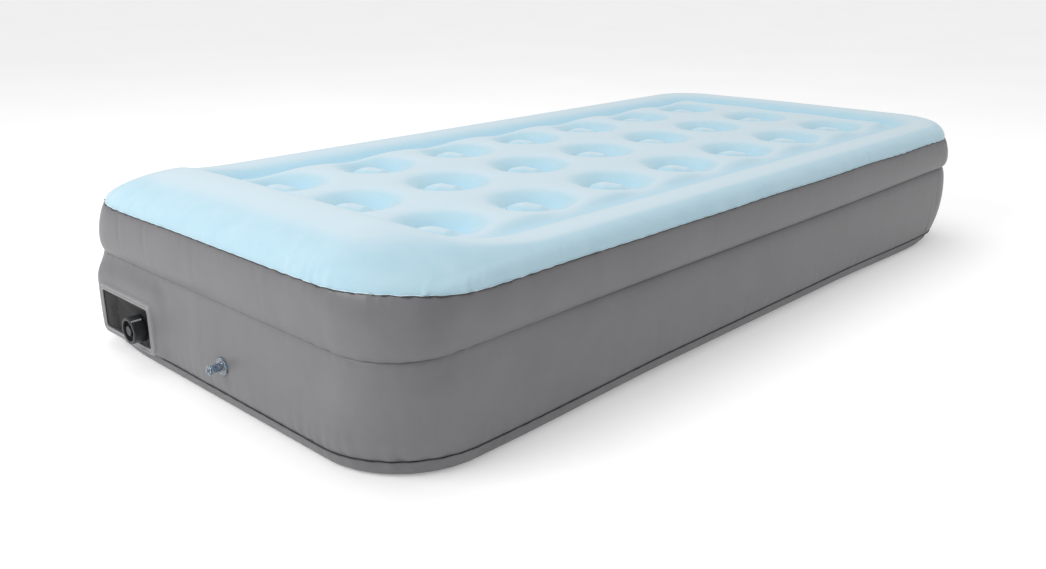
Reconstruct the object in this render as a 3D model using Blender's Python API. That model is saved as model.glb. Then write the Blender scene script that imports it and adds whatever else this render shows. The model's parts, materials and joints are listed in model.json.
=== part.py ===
"""Raised single air bed with a moulded pillow, a quilted flocked top and a built-in electric pump.

The bed lies along X with its head, where the pump and the air valve sit, at -X. The origin is the
middle of the face that rests on the floor, +Z is up, and all lengths are metres. Every welded sheet,
beam and moulding is its own object. Sheets are drawn 1.2 mm thick, about three times the real film.
"""

import math

import bmesh
import bpy
from mathutils import Matrix, Vector

# ---- driving dimensions -------------------------------------------------------------------------
LENGTH = 1.95
WIDTH = 0.94
SHEET = 0.0012
GAP = 0.0003
WELD_GAP = 0.0006

SEAM_Z = 0.271
SEAM_HEAD_RISE = 0.014
HEAD_FADE = 0.195
WAIST_Z = 0.189
FLOOR_SEAM_Z = 0.029

SEAM_RADIUS = 0.150
WAIST_RADIUS = 0.112
FLOOR_RADIUS = 0.165
PUMP_CORNER_RADIUS = 0.090

RIDGE_Z = 0.306
TRENCH_Z = 0.282
QUILT_Z = 0.298
DIMPLE_Z = 0.262
TRENCH_X = 0.855
TRENCH_Y = 0.345
PILLOW_FOOT_X = -0.757
PILLOW_CREST_X = -0.835
PILLOW_RISE = 0.062
GRID_HEAD_X = -0.860
END_STEPS = (0.018, 0.040)

DIMPLE_PITCH = 0.227
DIMPLE_COLUMNS = 7
DIMPLE_ROWS = 3
DIMPLE_FLAT = 0.035
DIMPLE_RIM = 0.079
STRAP_DROP = 0.004
BEAM_RADIUS = 0.030
BEAM_SWEEP = math.radians(300)
LOWER_BEAMS = 6
LOWER_BEAM_PITCH = 0.27

# The pump's panel: its outer face's middle, and its half sizes along Y and Z.
PUMP = Vector((-0.987, 0.2825, 0.0834))
PANEL_Y = 0.0876
PANEL_Z = 0.0364
PANEL_DEPTH = 0.003
FRAME_MARGIN = 0.0134
HOUSING_Y = 0.0850
HOUSING_Z = 0.0340
HOUSING_WALL = 0.002
HOUSING_DEPTH = 0.107
PARTITION_Y = 0.0295
DOOR_Y = (0.0335, 0.0846)
DOOR_Z = 0.0315
DOOR_CLEAR = 0.0005
HINGE_PIN_RADIUS = 0.0006
SCREWS = ((0.0280, 0.0300), (0.0280, -0.0300), (-0.0805, 0.0300), (-0.0805, -0.0300))

DIAL_Y = -0.0555
DIAL_Z = -0.0040
DIAL_RADIUS = 0.025
DIAL_HEIGHT = 0.024
DIAL_STANDOFF = 0.0010
SPINDLE_RADIUS = 0.005
INTAKE_HOLES = 6
INTAKE_RING = 0.0125
INTAKE_RADIUS = 0.003
MOTOR_Y = -0.0275
MOTOR_RADIUS = 0.018
IMPELLER_RADIUS = 0.026
BLADES = 9

VALVE = Vector((-0.9815, -0.045, 0.083))
VALVE_STEM = 0.0075
VALVE_BORE = 0.0060
VALVE_LENGTH = 0.0205


# ---- helpers ------------------------------------------------------------------------------------
def clear_scene():
    for obj in list(bpy.data.objects):
        bpy.data.objects.remove(obj, do_unlink=True)


def material(name, colour, roughness, metallic=0.0):
    made = bpy.data.materials.new(name)
    made.use_nodes = True
    shader = made.node_tree.nodes["Principled BSDF"]
    shader.inputs["Base Color"].default_value = (*colour, 1.0)
    shader.inputs["Roughness"].default_value = roughness
    shader.inputs["Metallic"].default_value = metallic
    return made


def place(name, bm, look, origin=(0.0, 0.0, 0.0), smooth=35.0):
    """A named object from a bmesh drawn in world coordinates, with its origin moved to `origin`."""
    origin = Vector(origin)
    bmesh.ops.translate(bm, verts=bm.verts, vec=-origin)
    bmesh.ops.recalc_face_normals(bm, faces=bm.faces)
    mesh = bpy.data.meshes.new(name)
    bm.to_mesh(mesh)
    bm.free()
    mesh.shade_smooth()
    mesh.set_sharp_from_angle(angle=math.radians(smooth))
    mesh.materials.append(look)
    obj = bpy.data.objects.new(name, mesh)
    obj.location = origin
    bpy.context.scene.collection.objects.link(obj)
    return obj


def box(lo, hi):
    bm = bmesh.new()
    size = Vector(hi) - Vector(lo)
    middle = (Vector(hi) + Vector(lo)) / 2
    bmesh.ops.create_cube(bm, size=1.0, matrix=Matrix.Translation(middle) @ Matrix.Diagonal((*size, 1.0)))
    return bm


def turned(profile, centre, segments=32):
    """A solid of revolution about an X axis through `centre`, from a closed outline of (x, radius)."""
    bm = bmesh.new()
    loops = []
    for x, radius in profile:
        if radius == 0.0:
            loops.append([bm.verts.new((centre[0] + x, centre[1], centre[2]))] * segments)
            continue
        loop = []
        for k in range(segments):
            a = 2 * math.pi * k / segments
            y = centre[1] + radius * math.cos(a)
            loop.append(bm.verts.new((centre[0] + x, y, centre[2] + radius * math.sin(a))))
        loops.append(loop)
    for i, loop in enumerate(loops):
        following = loops[(i + 1) % len(loops)]
        for k in range(segments):
            corners = [loop[k], loop[(k + 1) % segments], following[(k + 1) % segments], following[k]]
            distinct = list(dict.fromkeys(corners))
            if len(distinct) > 2:
                bm.faces.new(distinct)
    return bm


def cylinder(radius, x0, x1, y, z, segments=24):
    return turned([(x0, 0.0), (x0, radius), (x1, radius), (x1, 0.0)], (0.0, y, z), segments)


def rounded_rectangle(half_y, half_z, radius, y, z, steps=4):
    """Points of a rounded rectangle in the YZ plane, anticlockwise seen from +X."""
    points = []
    for quarter, (sy, sz) in enumerate(((1, 1), (-1, 1), (-1, -1), (1, -1))):
        for k in range(steps + 1):
            a = math.pi / 2 * (quarter + k / steps)
            py = y + sy * (half_y - radius) + radius * math.cos(a)
            points.append((py, z + sz * (half_z - radius) + radius * math.sin(a)))
    return points


def plate(outline, x0, x1):
    """A flat plate between two X planes, from an outline of (y, z) points."""
    bm = bmesh.new()
    face = bm.faces.new([bm.verts.new((x0, y, z)) for y, z in outline])
    made = bmesh.ops.extrude_face_region(bm, geom=[face])
    moved = [v for v in made["geom"] if isinstance(v, bmesh.types.BMVert)]
    bmesh.ops.translate(bm, verts=moved, vec=(x1 - x0, 0, 0))
    return bm


def cut(obj, bm, operation="DIFFERENCE"):
    """Cuts a closed bmesh out of an object, or adds it, with a hidden cutter object."""
    cutter = place(f"{obj.name}_cutter_{len(obj.modifiers)}", bm, obj.data.materials[0])
    cutter.hide_render = True
    cutter.display_type = "WIRE"
    change = obj.modifiers.new("cut", "BOOLEAN")
    change.operation = operation
    change.solver = "EXACT"
    change.object = cutter


def thicken(obj, thickness=SHEET):
    shell = obj.modifiers.new("film", "SOLIDIFY")
    shell.thickness = thickness
    shell.offset = -1.0


def smoothstep(t):
    t = min(max(t, 0.0), 1.0)
    return t * t * (3 - 2 * t)


# ---- the bed's outlines -------------------------------------------------------------------------
def grid_lines(centres, ends):
    """Lines that bound each dimple's flat floor and rim, with more near the ends to round the corners."""
    lines = {ends[0], ends[1]}
    lines |= {ends[1] - step for step in END_STEPS}
    if ends[0] == -ends[1]:
        lines |= {ends[0] + step for step in END_STEPS}
    for c in centres:
        for offset in (-DIMPLE_RIM, -DIMPLE_FLAT, DIMPLE_FLAT, DIMPLE_RIM):
            if all(abs(c + offset - line) > 0.012 for line in lines) and ends[0] < c + offset < ends[1]:
                lines.add(c + offset)
    return sorted(lines)


def centred(count, pitch):
    return [pitch * (i - (count - 1) / 2) for i in range(count)]


COLUMN_X = centred(DIMPLE_COLUMNS, DIMPLE_PITCH)
ROW_Y = centred(DIMPLE_ROWS, DIMPLE_PITCH)
GRID_X = [GRID_HEAD_X, PILLOW_CREST_X, -0.795] + grid_lines(COLUMN_X, (PILLOW_FOOT_X, TRENCH_X))
GRID_Y = grid_lines(ROW_Y, (-TRENCH_Y, TRENCH_Y))


def ring_fractions():
    """Where each ring point lies along its side, as a pair (side, 0 to 1), from the grid's own lines."""
    xs = [(x - GRID_X[0]) / (GRID_X[-1] - GRID_X[0]) for x in GRID_X]
    ys = [(y - GRID_Y[0]) / (GRID_Y[-1] - GRID_Y[0]) for y in GRID_Y]
    steps = [(0, f) for f in xs[:-1]] + [(1, f) for f in ys[:-1]]
    steps += [(2, 1 - f) for f in reversed(xs[1:])] + [(3, 1 - f) for f in reversed(ys[1:])]
    return steps


def ring(outset, radius, pump_radius=None):
    """Rounded-rectangle points (x, y), anticlockwise from the head's -Y corner, `outset` past the seam.

    Each side runs between the middles of its two corner arcs. `pump_radius` sets the corner by the
    pump apart, where the stiff panel pulls the wall flat."""
    a, b = LENGTH / 2 + outset, WIDTH / 2 + outset
    radii = [radius, radius, radius, pump_radius or radius]
    corners = [(-a, -b), (a, -b), (a, b), (-a, b)]
    along = [(1, 0), (0, 1), (-1, 0), (0, -1)]
    points = []
    for side, f in ring_fractions():
        r0, r1 = radii[side], radii[(side + 1) % 4]
        x0, y0 = corners[side]
        ux, uy = along[side]
        length = 2 * (a if side % 2 == 0 else b)
        arcs = r0 * math.pi / 4, r1 * math.pi / 4
        straight = length - r0 - r1
        s = f * (arcs[0] + straight + arcs[1])
        # u runs along the side from its first corner, v points into the bed
        if s < arcs[0]:
            angle = math.pi / 4 - s / r0
            u, v = r0 - r0 * math.sin(angle), r0 - r0 * math.cos(angle)
        elif s > arcs[0] + straight:
            angle = (s - arcs[0] - straight) / r1
            u, v = length - r1 + r1 * math.sin(angle), r1 - r1 * math.cos(angle)
        else:
            u, v = r0 + s - arcs[0], 0.0
        points.append((x0 + ux * u - uy * v, y0 + uy * u + ux * v))
    return points


def head_share(x):
    """1 over the head's end wall, fading to 0 along the first stretch of the long sides."""
    return smoothstep(1 - (x + LENGTH / 2) / HEAD_FADE)


def seam_height(x):
    return SEAM_Z + SEAM_HEAD_RISE * head_share(x)


def pillow_lift(x, y):
    if x < PILLOW_CREST_X:
        along = smoothstep((x + LENGTH / 2) / (PILLOW_CREST_X + LENGTH / 2))
    else:
        along = smoothstep((PILLOW_FOOT_X - x) / (PILLOW_FOOT_X - PILLOW_CREST_X))
    across = smoothstep((WIDTH / 2 - abs(y)) / 0.19)
    return PILLOW_RISE * along * across


def quilt_height(x, y):
    """The quilted field: flat-floored dimples on a regular grid, sunk to the trench at its border."""
    dx = min(abs(x - c) for c in COLUMN_X)
    dy = min(abs(y - c) for c in ROW_Y)
    rim = smoothstep((max(dx, dy) - DIMPLE_FLAT) / (DIMPLE_RIM - DIMPLE_FLAT))
    z = DIMPLE_Z + (QUILT_Z - DIMPLE_Z) * rim
    border = min(x - PILLOW_FOOT_X, TRENCH_X - x, TRENCH_Y - abs(y))
    return TRENCH_Z + (z - TRENCH_Z) * smoothstep(border / 0.038)


# ---- the inflatable body ------------------------------------------------------------------------
def skirt(bm, loops):
    """Quads between closed loops of vertices that hold the same number of points."""
    for first, second in zip(loops, loops[1:]):
        count = len(first)
        for k in range(count):
            n = (k + 1) % count
            bm.faces.new((first[k], first[n], second[n], second[k]))


def top_sheet(look):
    bm = bmesh.new()
    rows = []
    for y in GRID_Y:
        row = []
        for x in GRID_X:
            z = quilt_height(x, y) if x >= PILLOW_FOOT_X else TRENCH_Z + pillow_lift(x, y)
            row.append(bm.verts.new((x, y, z)))
        rows.append(row)
    for lower, upper in zip(rows, rows[1:]):
        for k in range(len(lower) - 1):
            bm.faces.new((lower[k], lower[k + 1], upper[k + 1], upper[k]))
    edge = rows[0][:-1] + [row[-1] for row in rows[:-1]]
    edge += rows[-1][:0:-1] + [row[0] for row in rows[:0:-1]]
    loops = [edge]
    for inset, z, radius in ((0.085, 0.298, 0.07), (0.048, RIDGE_Z, 0.105), (0.018, 0.294, 0.133)):
        loops.append([bm.verts.new((x, y, z + pillow_lift(x, y))) for x, y in ring(-inset, radius)])
    last = ring(0.0, SEAM_RADIUS)
    loops.append([bm.verts.new((x, y, seam_height(x) + WELD_GAP)) for x, y in last])
    skirt(bm, loops)
    thicken(place("top_sheet", bm, look, smooth=60))


def side_wall(look):
    """One grey wall: a full upper band, the waist where the middle sheet pulls it in, a lower wall."""
    bm = bmesh.new()
    loops = []
    upper = ((0.0, 0.0), (0.22, 0.006), (0.50, 0.0085), (0.80, 0.003))
    for down, outset in upper:
        radius = SEAM_RADIUS + (WAIST_RADIUS - SEAM_RADIUS) * down
        loop = []
        for x, y in ring(outset, radius):
            top = seam_height(x) - WELD_GAP
            loop.append(bm.verts.new((x, y, top + (WAIST_Z - top) * down)))
        loops.append(loop)
    lower = ((0.0, -0.010), (0.14, -0.001), (0.34, 0.004), (0.55, 0.006), (0.75, 0.005), (1.0, 0.0))
    for down, outset in lower:
        z = WAIST_Z + (FLOOR_SEAM_Z - WAIST_Z) * down
        radius = WAIST_RADIUS + (FLOOR_RADIUS - WAIST_RADIUS) * down
        pump_corner = WAIST_RADIUS + (PUMP_CORNER_RADIUS - WAIST_RADIUS) * min(1.0, 2 * down)
        loops.append([bm.verts.new((x, y, z)) for x, y in ring(outset, radius, pump_corner)])
    skirt(bm, loops)
    wall = place("side_wall", bm, look, smooth=60)
    thicken(wall)
    clear = FRAME_MARGIN + GAP
    lo = (PUMP.x - 0.03, PUMP.y - PANEL_Y - clear, PUMP.z - PANEL_Z - clear)
    hi = (PUMP.x + 0.05, PUMP.y + PANEL_Y + clear, PUMP.z + PANEL_Z + clear)
    cut(wall, box(lo, hi))
    cut(wall, cylinder(VALVE_STEM + 0.0006, VALVE.x - 0.02, VALVE.x + 0.03, VALVE.y, VALVE.z))


def bottom_sheet(look):
    bm = bmesh.new()
    loops = []
    for outset, z in ((0.0, FLOOR_SEAM_Z - WELD_GAP), (-0.001, 0.015), (-0.006, 0.005), (-0.018, 0.0)):
        points = ring(outset, FLOOR_RADIUS, PUMP_CORNER_RADIUS)
        loops.append([bm.verts.new((x, y, z)) for x, y in points])
    skirt(bm, loops)
    bm.faces.new(loops[-1])
    thicken(place("bottom_sheet", bm, look, smooth=60))


def middle_sheet(look):
    """The waist's inner sheet, with ports that let one pump fill both chambers."""
    inset = -0.010 - SHEET - WELD_GAP
    bm = bmesh.new()
    face = bm.faces.new([bm.verts.new((x, y, WAIST_Z - SHEET / 2)) for x, y in ring(inset, WAIST_RADIUS)])
    made = bmesh.ops.extrude_face_region(bm, geom=[face])
    moved = [v for v in made["geom"] if isinstance(v, bmesh.types.BMVert)]
    bmesh.ops.translate(bm, verts=moved, vec=(0, 0, SHEET))
    sheet = place("middle_sheet", bm, look)
    ports = bmesh.new()
    for x in (-0.5, 0.0, 0.5):
        for y in (-0.40, 0.40):
            spot = Matrix.Translation((x, y, WAIST_Z))
            bmesh.ops.create_cone(ports, cap_ends=True, segments=16, radius1=0.015, radius2=0.015,
                                  depth=0.01, matrix=spot)
    cut(sheet, ports)


def coil_beams(look):
    """Upright C-shaped strips that tie each dimple to the middle sheet, open towards the foot."""
    bottom = WAIST_Z + SHEET / 2 + GAP
    top = DIMPLE_Z - SHEET - GAP
    steps = 12
    for row, y in enumerate(ROW_Y, 1):
        for column, x in enumerate(COLUMN_X, 1):
            bm = bmesh.new()
            outline = []
            for radius, order in ((BEAM_RADIUS, range(steps + 1)), (BEAM_RADIUS - SHEET, range(steps, -1, -1))):
                for k in order:
                    a = math.pi - BEAM_SWEEP / 2 + BEAM_SWEEP * k / steps
                    outline.append(bm.verts.new((x + radius * math.cos(a), y + radius * math.sin(a), bottom)))
            made = bmesh.ops.extrude_face_region(bm, geom=[bm.faces.new(outline)])
            moved = [v for v in made["geom"] if isinstance(v, bmesh.types.BMVert)]
            bmesh.ops.translate(bm, verts=moved, vec=(0, 0, top - bottom))
            place(f"coil_beam_{row}_{column}", bm, look, origin=(x, y, bottom))


def border_strap(look):
    """The upright band that holds the trench down around the quilted field."""
    middle_x = (PILLOW_FOOT_X + TRENCH_X) / 2
    half_x = (TRENCH_X - PILLOW_FOOT_X) / 2
    bottom = WAIST_Z + SHEET / 2 + GAP
    top = TRENCH_Z - SHEET - STRAP_DROP
    bm = bmesh.new()
    loops = []
    for inset, z in ((0, bottom), (0, top), (SHEET, top), (SHEET, bottom)):
        half = half_x - 0.002 - inset, TRENCH_Y - 0.002 - inset
        outline = rounded_rectangle(half[0], half[1], 0.03 - inset, middle_x, 0.0, steps=3)
        loops.append([bm.verts.new((x, y, z)) for x, y in outline])
    skirt(bm, loops + [loops[0]])
    place("border_strap", bm, look)


def lower_beams(look):
    """Cross strips with an I section and air windows, which keep the lower chamber's floor flat."""
    bottom, top = SHEET + GAP, WAIST_Z - SHEET / 2 - GAP
    half_span, half_foot = 0.38, 0.015
    for i, x in enumerate(centred(LOWER_BEAMS, LOWER_BEAM_PITCH), 1):
        half = SHEET / 2
        outline = [(-half_foot, bottom), (half_foot, bottom), (half_foot, bottom + SHEET), (half, bottom + SHEET)]
        outline += [(half, top - SHEET), (half_foot, top - SHEET), (half_foot, top), (-half_foot, top)]
        outline += [(-half_foot, top - SHEET), (-half, top - SHEET), (-half, bottom + SHEET)]
        outline += [(-half_foot, bottom + SHEET)]
        bm = bmesh.new()
        face = bm.faces.new([bm.verts.new((x + px, -half_span, pz)) for px, pz in outline])
        made = bmesh.ops.extrude_face_region(bm, geom=[face])
        moved = [v for v in made["geom"] if isinstance(v, bmesh.types.BMVert)]
        bmesh.ops.translate(bm, verts=moved, vec=(0, 2 * half_span, 0))
        beam = place(f"lower_beam_{i}", bm, look)
        windows = bmesh.new()
        for y in (-0.19, 0.0, 0.19):
            spot = Matrix.Translation((x, y, WAIST_Z / 2)) @ Matrix.Rotation(math.pi / 2, 4, "Y")
            bmesh.ops.create_cone(windows, cap_ends=True, segments=16, radius1=0.03, radius2=0.03,
                                  depth=0.02, matrix=spot)
        cut(beam, windows)


# ---- the pump -----------------------------------------------------------------------------------
def pump_box(x0, x1, y0, y1, z0, z1):
    """A box in the pump's own terms: depth behind the panel's outer face, and Y and Z from its middle."""
    return box(PUMP + Vector((x0, y0, z0)), PUMP + Vector((x1, y1, z1)))


def pump_cylinder(radius, x0, x1, y, z, segments=24):
    return cylinder(radius, PUMP.x + x0, PUMP.x + x1, PUMP.y + y, PUMP.z + z, segments)


def pump_frame(look):
    """The soft collar that is welded into the wall around the panel, standing 2 mm proud of it."""
    outer = rounded_rectangle(PANEL_Y + FRAME_MARGIN, PANEL_Z + FRAME_MARGIN, 0.012, PUMP.y, PUMP.z)
    inner = rounded_rectangle(PANEL_Y + 0.0006, PANEL_Z + 0.0006, 0.006, PUMP.y, PUMP.z)
    front, back = PUMP.x - 0.002, PUMP.x + 0.017
    bm = bmesh.new()
    loops = []
    for outline, x in ((outer, back), (outer, front), (inner, front), (inner, back)):
        loops.append([bm.verts.new((x, y, z)) for y, z in outline])
    skirt(bm, loops + [loops[0]])
    place("pump_frame", bm, look)


def pump_housing(look):
    front = PANEL_DEPTH + GAP
    back = HOUSING_DEPTH
    outline = rounded_rectangle(HOUSING_Y, HOUSING_Z, 0.006, PUMP.y, PUMP.z)
    housing = place("pump_housing", plate(outline, PUMP.x + front, PUMP.x + back), look)
    flange = rounded_rectangle(HOUSING_Y + 0.015, HOUSING_Z + 0.0145, 0.012, PUMP.y, PUMP.z)
    cut(housing, plate(flange, PUMP.x + 0.0175, PUMP.x + 0.0195), "UNION")
    rooms = ((-HOUSING_Y + HOUSING_WALL, PARTITION_Y - 0.001), (PARTITION_Y + 0.001, HOUSING_Y - HOUSING_WALL))
    inside = HOUSING_Z - HOUSING_WALL
    for y0, y1 in rooms:
        cut(housing, pump_box(front - 0.01, back - HOUSING_WALL, y0, y1, -inside, inside))
    for y, z in SCREWS:
        shift = math.copysign(0.0006, z)
        boss = pump_box(front, front + 0.013, y - 0.0040, y + 0.0040, min(z - 0.0035, z + 3 * shift),
                        max(z + 0.0035, z + 3 * shift))
        cut(housing, boss, "UNION")
        cut(housing, pump_cylinder(0.0017, front - 0.01, front + 0.0115, y, z, 12))
    cut(housing, pump_cylinder(0.013, back - 0.01, back + 0.01, MOTOR_Y, 0.0))
    room_middle = (rooms[1][0] + rooms[1][1]) / 2
    cut(housing, pump_cylinder(0.0045, back - 0.01, back + 0.01, room_middle, -0.020, 16))


def pump_panel(look):
    outline = rounded_rectangle(PANEL_Y, PANEL_Z, 0.005, PUMP.y, PUMP.z)
    panel = place("pump_panel", plate(outline, PUMP.x, PUMP.x + PANEL_DEPTH), look)
    y0, y1 = DOOR_Y[0] - DOOR_CLEAR, DOOR_Y[1] + DOOR_CLEAR
    half = DOOR_Z + DOOR_CLEAR
    cut(panel, pump_box(-0.01, 0.01, y0, y1, -half, half))
    pin_y = DOOR_Y[1] - PANEL_DEPTH / 2
    pin = bmesh.new()
    spot = Matrix.Translation(PUMP + Vector((PANEL_DEPTH / 2, pin_y, 0)))
    bmesh.ops.create_cone(pin, cap_ends=True, segments=12, radius1=HINGE_PIN_RADIUS + 0.0003,
                          radius2=HINGE_PIN_RADIUS + 0.0003, depth=2 * DOOR_Z + 0.006, matrix=spot)
    cut(panel, pin)
    cut(panel, pump_cylinder(SPINDLE_RADIUS + 0.0004, -0.01, 0.01, DIAL_Y, DIAL_Z))
    for k in range(INTAKE_HOLES):
        a = 2 * math.pi * k / INTAKE_HOLES
        y, z = DIAL_Y + INTAKE_RING * math.cos(a), DIAL_Z + INTAKE_RING * math.sin(a)
        cut(panel, pump_cylinder(INTAKE_RADIUS, -0.01, 0.01, y, z, 12))
    for y, z in SCREWS:
        cut(panel, pump_cylinder(0.0016, -0.01, 0.01, y, z, 12))
        cut(panel, pump_cylinder(0.0030, -0.01, 0.0018, y, z, 16))


def panel_screws(look):
    """Self-tapping screws whose heads sink into the panel and whose shanks end in the housing's bosses."""
    for i, (y, z) in enumerate(SCREWS, 1):
        profile = [(0.0003, 0.0), (0.0003, 0.0018), (0.0007, 0.0026), (0.0014, 0.0026), (0.0014, 0.0013)]
        profile += [(0.0125, 0.0013), (0.0138, 0.0)]
        centre = PUMP + Vector((0, y, z))
        screw = place(f"panel_screw_{i}", turned(profile, centre, 12), look, origin=centre)
        slot = PUMP + Vector((0, y, z))
        for half_y, half_z in ((0.0014, 0.0003), (0.0003, 0.0014)):
            lo = slot + Vector((-0.002, -half_y, -half_z))
            hi = slot + Vector((0.0008, half_y, half_z))
            cut(screw, box(lo, hi))


def cord_door(look, steel):
    """The flap over the cord's compartment. Its outer edge is a full round about its hinge pin."""
    radius = PANEL_DEPTH / 2
    axis = PUMP + Vector((radius, DOOR_Y[1] - radius, 0))
    bm = bmesh.new()
    outline = [(-radius, DOOR_Y[0] - DOOR_Y[1] + radius)]
    for k in range(7):
        a = math.pi * k / 6
        outline.append((-radius * math.cos(a), radius * math.sin(a)))
    outline.append((radius, DOOR_Y[0] - DOOR_Y[1] + radius))
    face = bm.faces.new([bm.verts.new((axis.x + x, axis.y + y, axis.z - DOOR_Z)) for x, y in outline])
    made = bmesh.ops.extrude_face_region(bm, geom=[face])
    moved = [v for v in made["geom"] if isinstance(v, bmesh.types.BMVert)]
    bmesh.ops.translate(bm, verts=moved, vec=(0, 0, 2 * DOOR_Z))
    door = place("cord_door", bm, look, origin=axis)
    bore = bmesh.new()
    bmesh.ops.create_cone(bore, cap_ends=True, segments=12, radius1=HINGE_PIN_RADIUS + 0.0002,
                          radius2=HINGE_PIN_RADIUS + 0.0002, depth=2 * DOOR_Z + 0.01,
                          matrix=Matrix.Translation(axis))
    cut(door, bore)
    notch = bmesh.new()
    spot = Matrix.Translation(PUMP + Vector((-0.0005, DOOR_Y[0], 0))) @ Matrix.Diagonal((0.12, 0.55, 1, 1))
    bmesh.ops.create_cone(notch, cap_ends=True, segments=16, radius1=0.008, radius2=0.008, depth=0.016,
                          matrix=spot)
    cut(door, notch)
    pin = bmesh.new()
    bmesh.ops.create_cone(pin, cap_ends=True, segments=12, radius1=HINGE_PIN_RADIUS,
                          radius2=HINGE_PIN_RADIUS, depth=2 * DOOR_Z + 0.005,
                          matrix=Matrix.Translation(axis))
    place("door_hinge_pin", pin, steel, origin=axis)


def dial(look, cap_look, mark, plastic):
    """The big selector: a grooved knob on a spindle that turns the intake's shutter plate."""
    centre = PUMP + Vector((0, DIAL_Y, DIAL_Z))
    base, front = -DIAL_STANDOFF, -DIAL_HEIGHT
    profile = [(base, SPINDLE_RADIUS + GAP), (base, DIAL_RADIUS - 0.0005), (base - 0.0005, DIAL_RADIUS)]
    profile += [(front + 0.0015, DIAL_RADIUS), (front + 0.0004, DIAL_RADIUS - 0.0006)]
    profile += [(front, DIAL_RADIUS - 0.0018), (front, 0.0195), (front + 0.0005, 0.0188), (front + 0.009, 0.0180)]
    profile += [(front + 0.009, 0.0104), (front + 0.009, SPINDLE_RADIUS + GAP)]
    place("dial", turned(profile, centre, 40), look, origin=centre)
    cap = [(front + 0.0087, 0.0), (front + 0.0087, 0.0100), (front + 0.0010, 0.0094), (front + 0.0004, 0.0086)]
    cap += [(front + 0.0008, 0.0)]
    place("dial_cap", turned(cap, centre, 28), cap_look, origin=centre)
    angle = math.radians(125)
    out = Vector((0, math.cos(angle), math.sin(angle)))
    side = Vector((0, -math.sin(angle), math.cos(angle)))
    bm = bmesh.new()
    foot = DIAL_RADIUS + GAP
    corners = []
    for x, w, r in ((front + 0.001, 0.0015, foot + 0.0016), (base - 0.003, 0.0015, foot + 0.0022)):
        for s in (-1, 1):
            corners.append(bm.verts.new(centre + Vector((x, 0, 0)) + out * foot + side * w * s))
            corners.append(bm.verts.new(centre + Vector((x, 0, 0)) + out * r + side * w * 0.6 * s))
    bmesh.ops.convex_hull(bm, input=bm.verts)
    place("dial_pointer", bm, mark, origin=centre)
    spindle = pump_cylinder(SPINDLE_RADIUS, front + 0.0092, 0.0105, DIAL_Y, DIAL_Z, 24)
    place("dial_spindle", spindle, plastic, origin=centre)
    shutter = turned([(0.0045, SPINDLE_RADIUS + GAP), (0.0045, 0.020), (0.0065, 0.020),
                      (0.0065, SPINDLE_RADIUS + GAP)], centre, 32)
    plate_object = place("intake_shutter", shutter, plastic, origin=centre)
    for k in range(INTAKE_HOLES):
        a = 2 * math.pi * (k + 0.5) / INTAKE_HOLES
        y, z = DIAL_Y + INTAKE_RING * math.cos(a), DIAL_Z + INTAKE_RING * math.sin(a)
        cut(plate_object, pump_cylinder(INTAKE_RADIUS, -0.01, 0.02, y, z, 12))


def blower(plastic, steel, motor_look):
    """Motor, fan and the parts that carry them, in the housing's larger room."""
    y0 = -HOUSING_Y + HOUSING_WALL + GAP
    y1 = PARTITION_Y - 0.001 - GAP
    inside = HOUSING_Z - HOUSING_WALL - GAP
    shroud = place("fan_shroud", pump_box(0.027, 0.029, y0, y1, -inside, inside), plastic)
    cut(shroud, pump_cylinder(0.014, 0.0, 0.05, MOTOR_Y, 0.0))
    bracket = place("motor_bracket", pump_box(0.046, 0.048, y0, y1, -inside, inside), plastic)
    cut(bracket, pump_cylinder(0.0045, 0.0, 0.08, MOTOR_Y, 0.0, 16))
    for y in (-0.070, 0.015):
        cut(bracket, pump_cylinder(0.009, 0.0, 0.08, y, 0.0))
    centre = PUMP + Vector((0, MOTOR_Y, 0))
    motor = [(0.0483, 0.0020), (0.0483, 0.0165), (0.0500, MOTOR_RADIUS), (0.0880, MOTOR_RADIUS)]
    motor += [(0.0895, 0.0165), (0.0895, 0.0050), (0.0920, 0.0050), (0.0920, 0.0020)]
    place("motor", turned(motor, centre, 28), motor_look, origin=centre)
    shaft = pump_cylinder(0.0015, 0.0335, 0.0915, MOTOR_Y, 0.0, 16)
    place("motor_shaft", shaft, steel, origin=centre)
    fan = [(0.0440, 0.0018), (0.0440, IMPELLER_RADIUS), (0.0428, IMPELLER_RADIUS), (0.0428, 0.0060)]
    fan += [(0.0350, 0.0050), (0.0350, 0.0018)]
    impeller = place("impeller", turned(fan, centre, 28), plastic, origin=centre)
    for k in range(BLADES):
        a = 2 * math.pi * k / BLADES
        blade = bmesh.new()
        lo, hi = Vector((0.0325, 0.0055, -0.0005)), Vector((0.0431, IMPELLER_RADIUS - 0.0015, 0.0005))
        size, middle = hi - lo, (hi + lo) / 2
        turn = Matrix.Translation(centre) @ Matrix.Rotation(a, 4, "X") @ Matrix.Translation(middle)
        bmesh.ops.create_cube(blade, size=1.0, matrix=turn @ Matrix.Diagonal((*size, 1.0)))
        cut(impeller, blade, "UNION")


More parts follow.
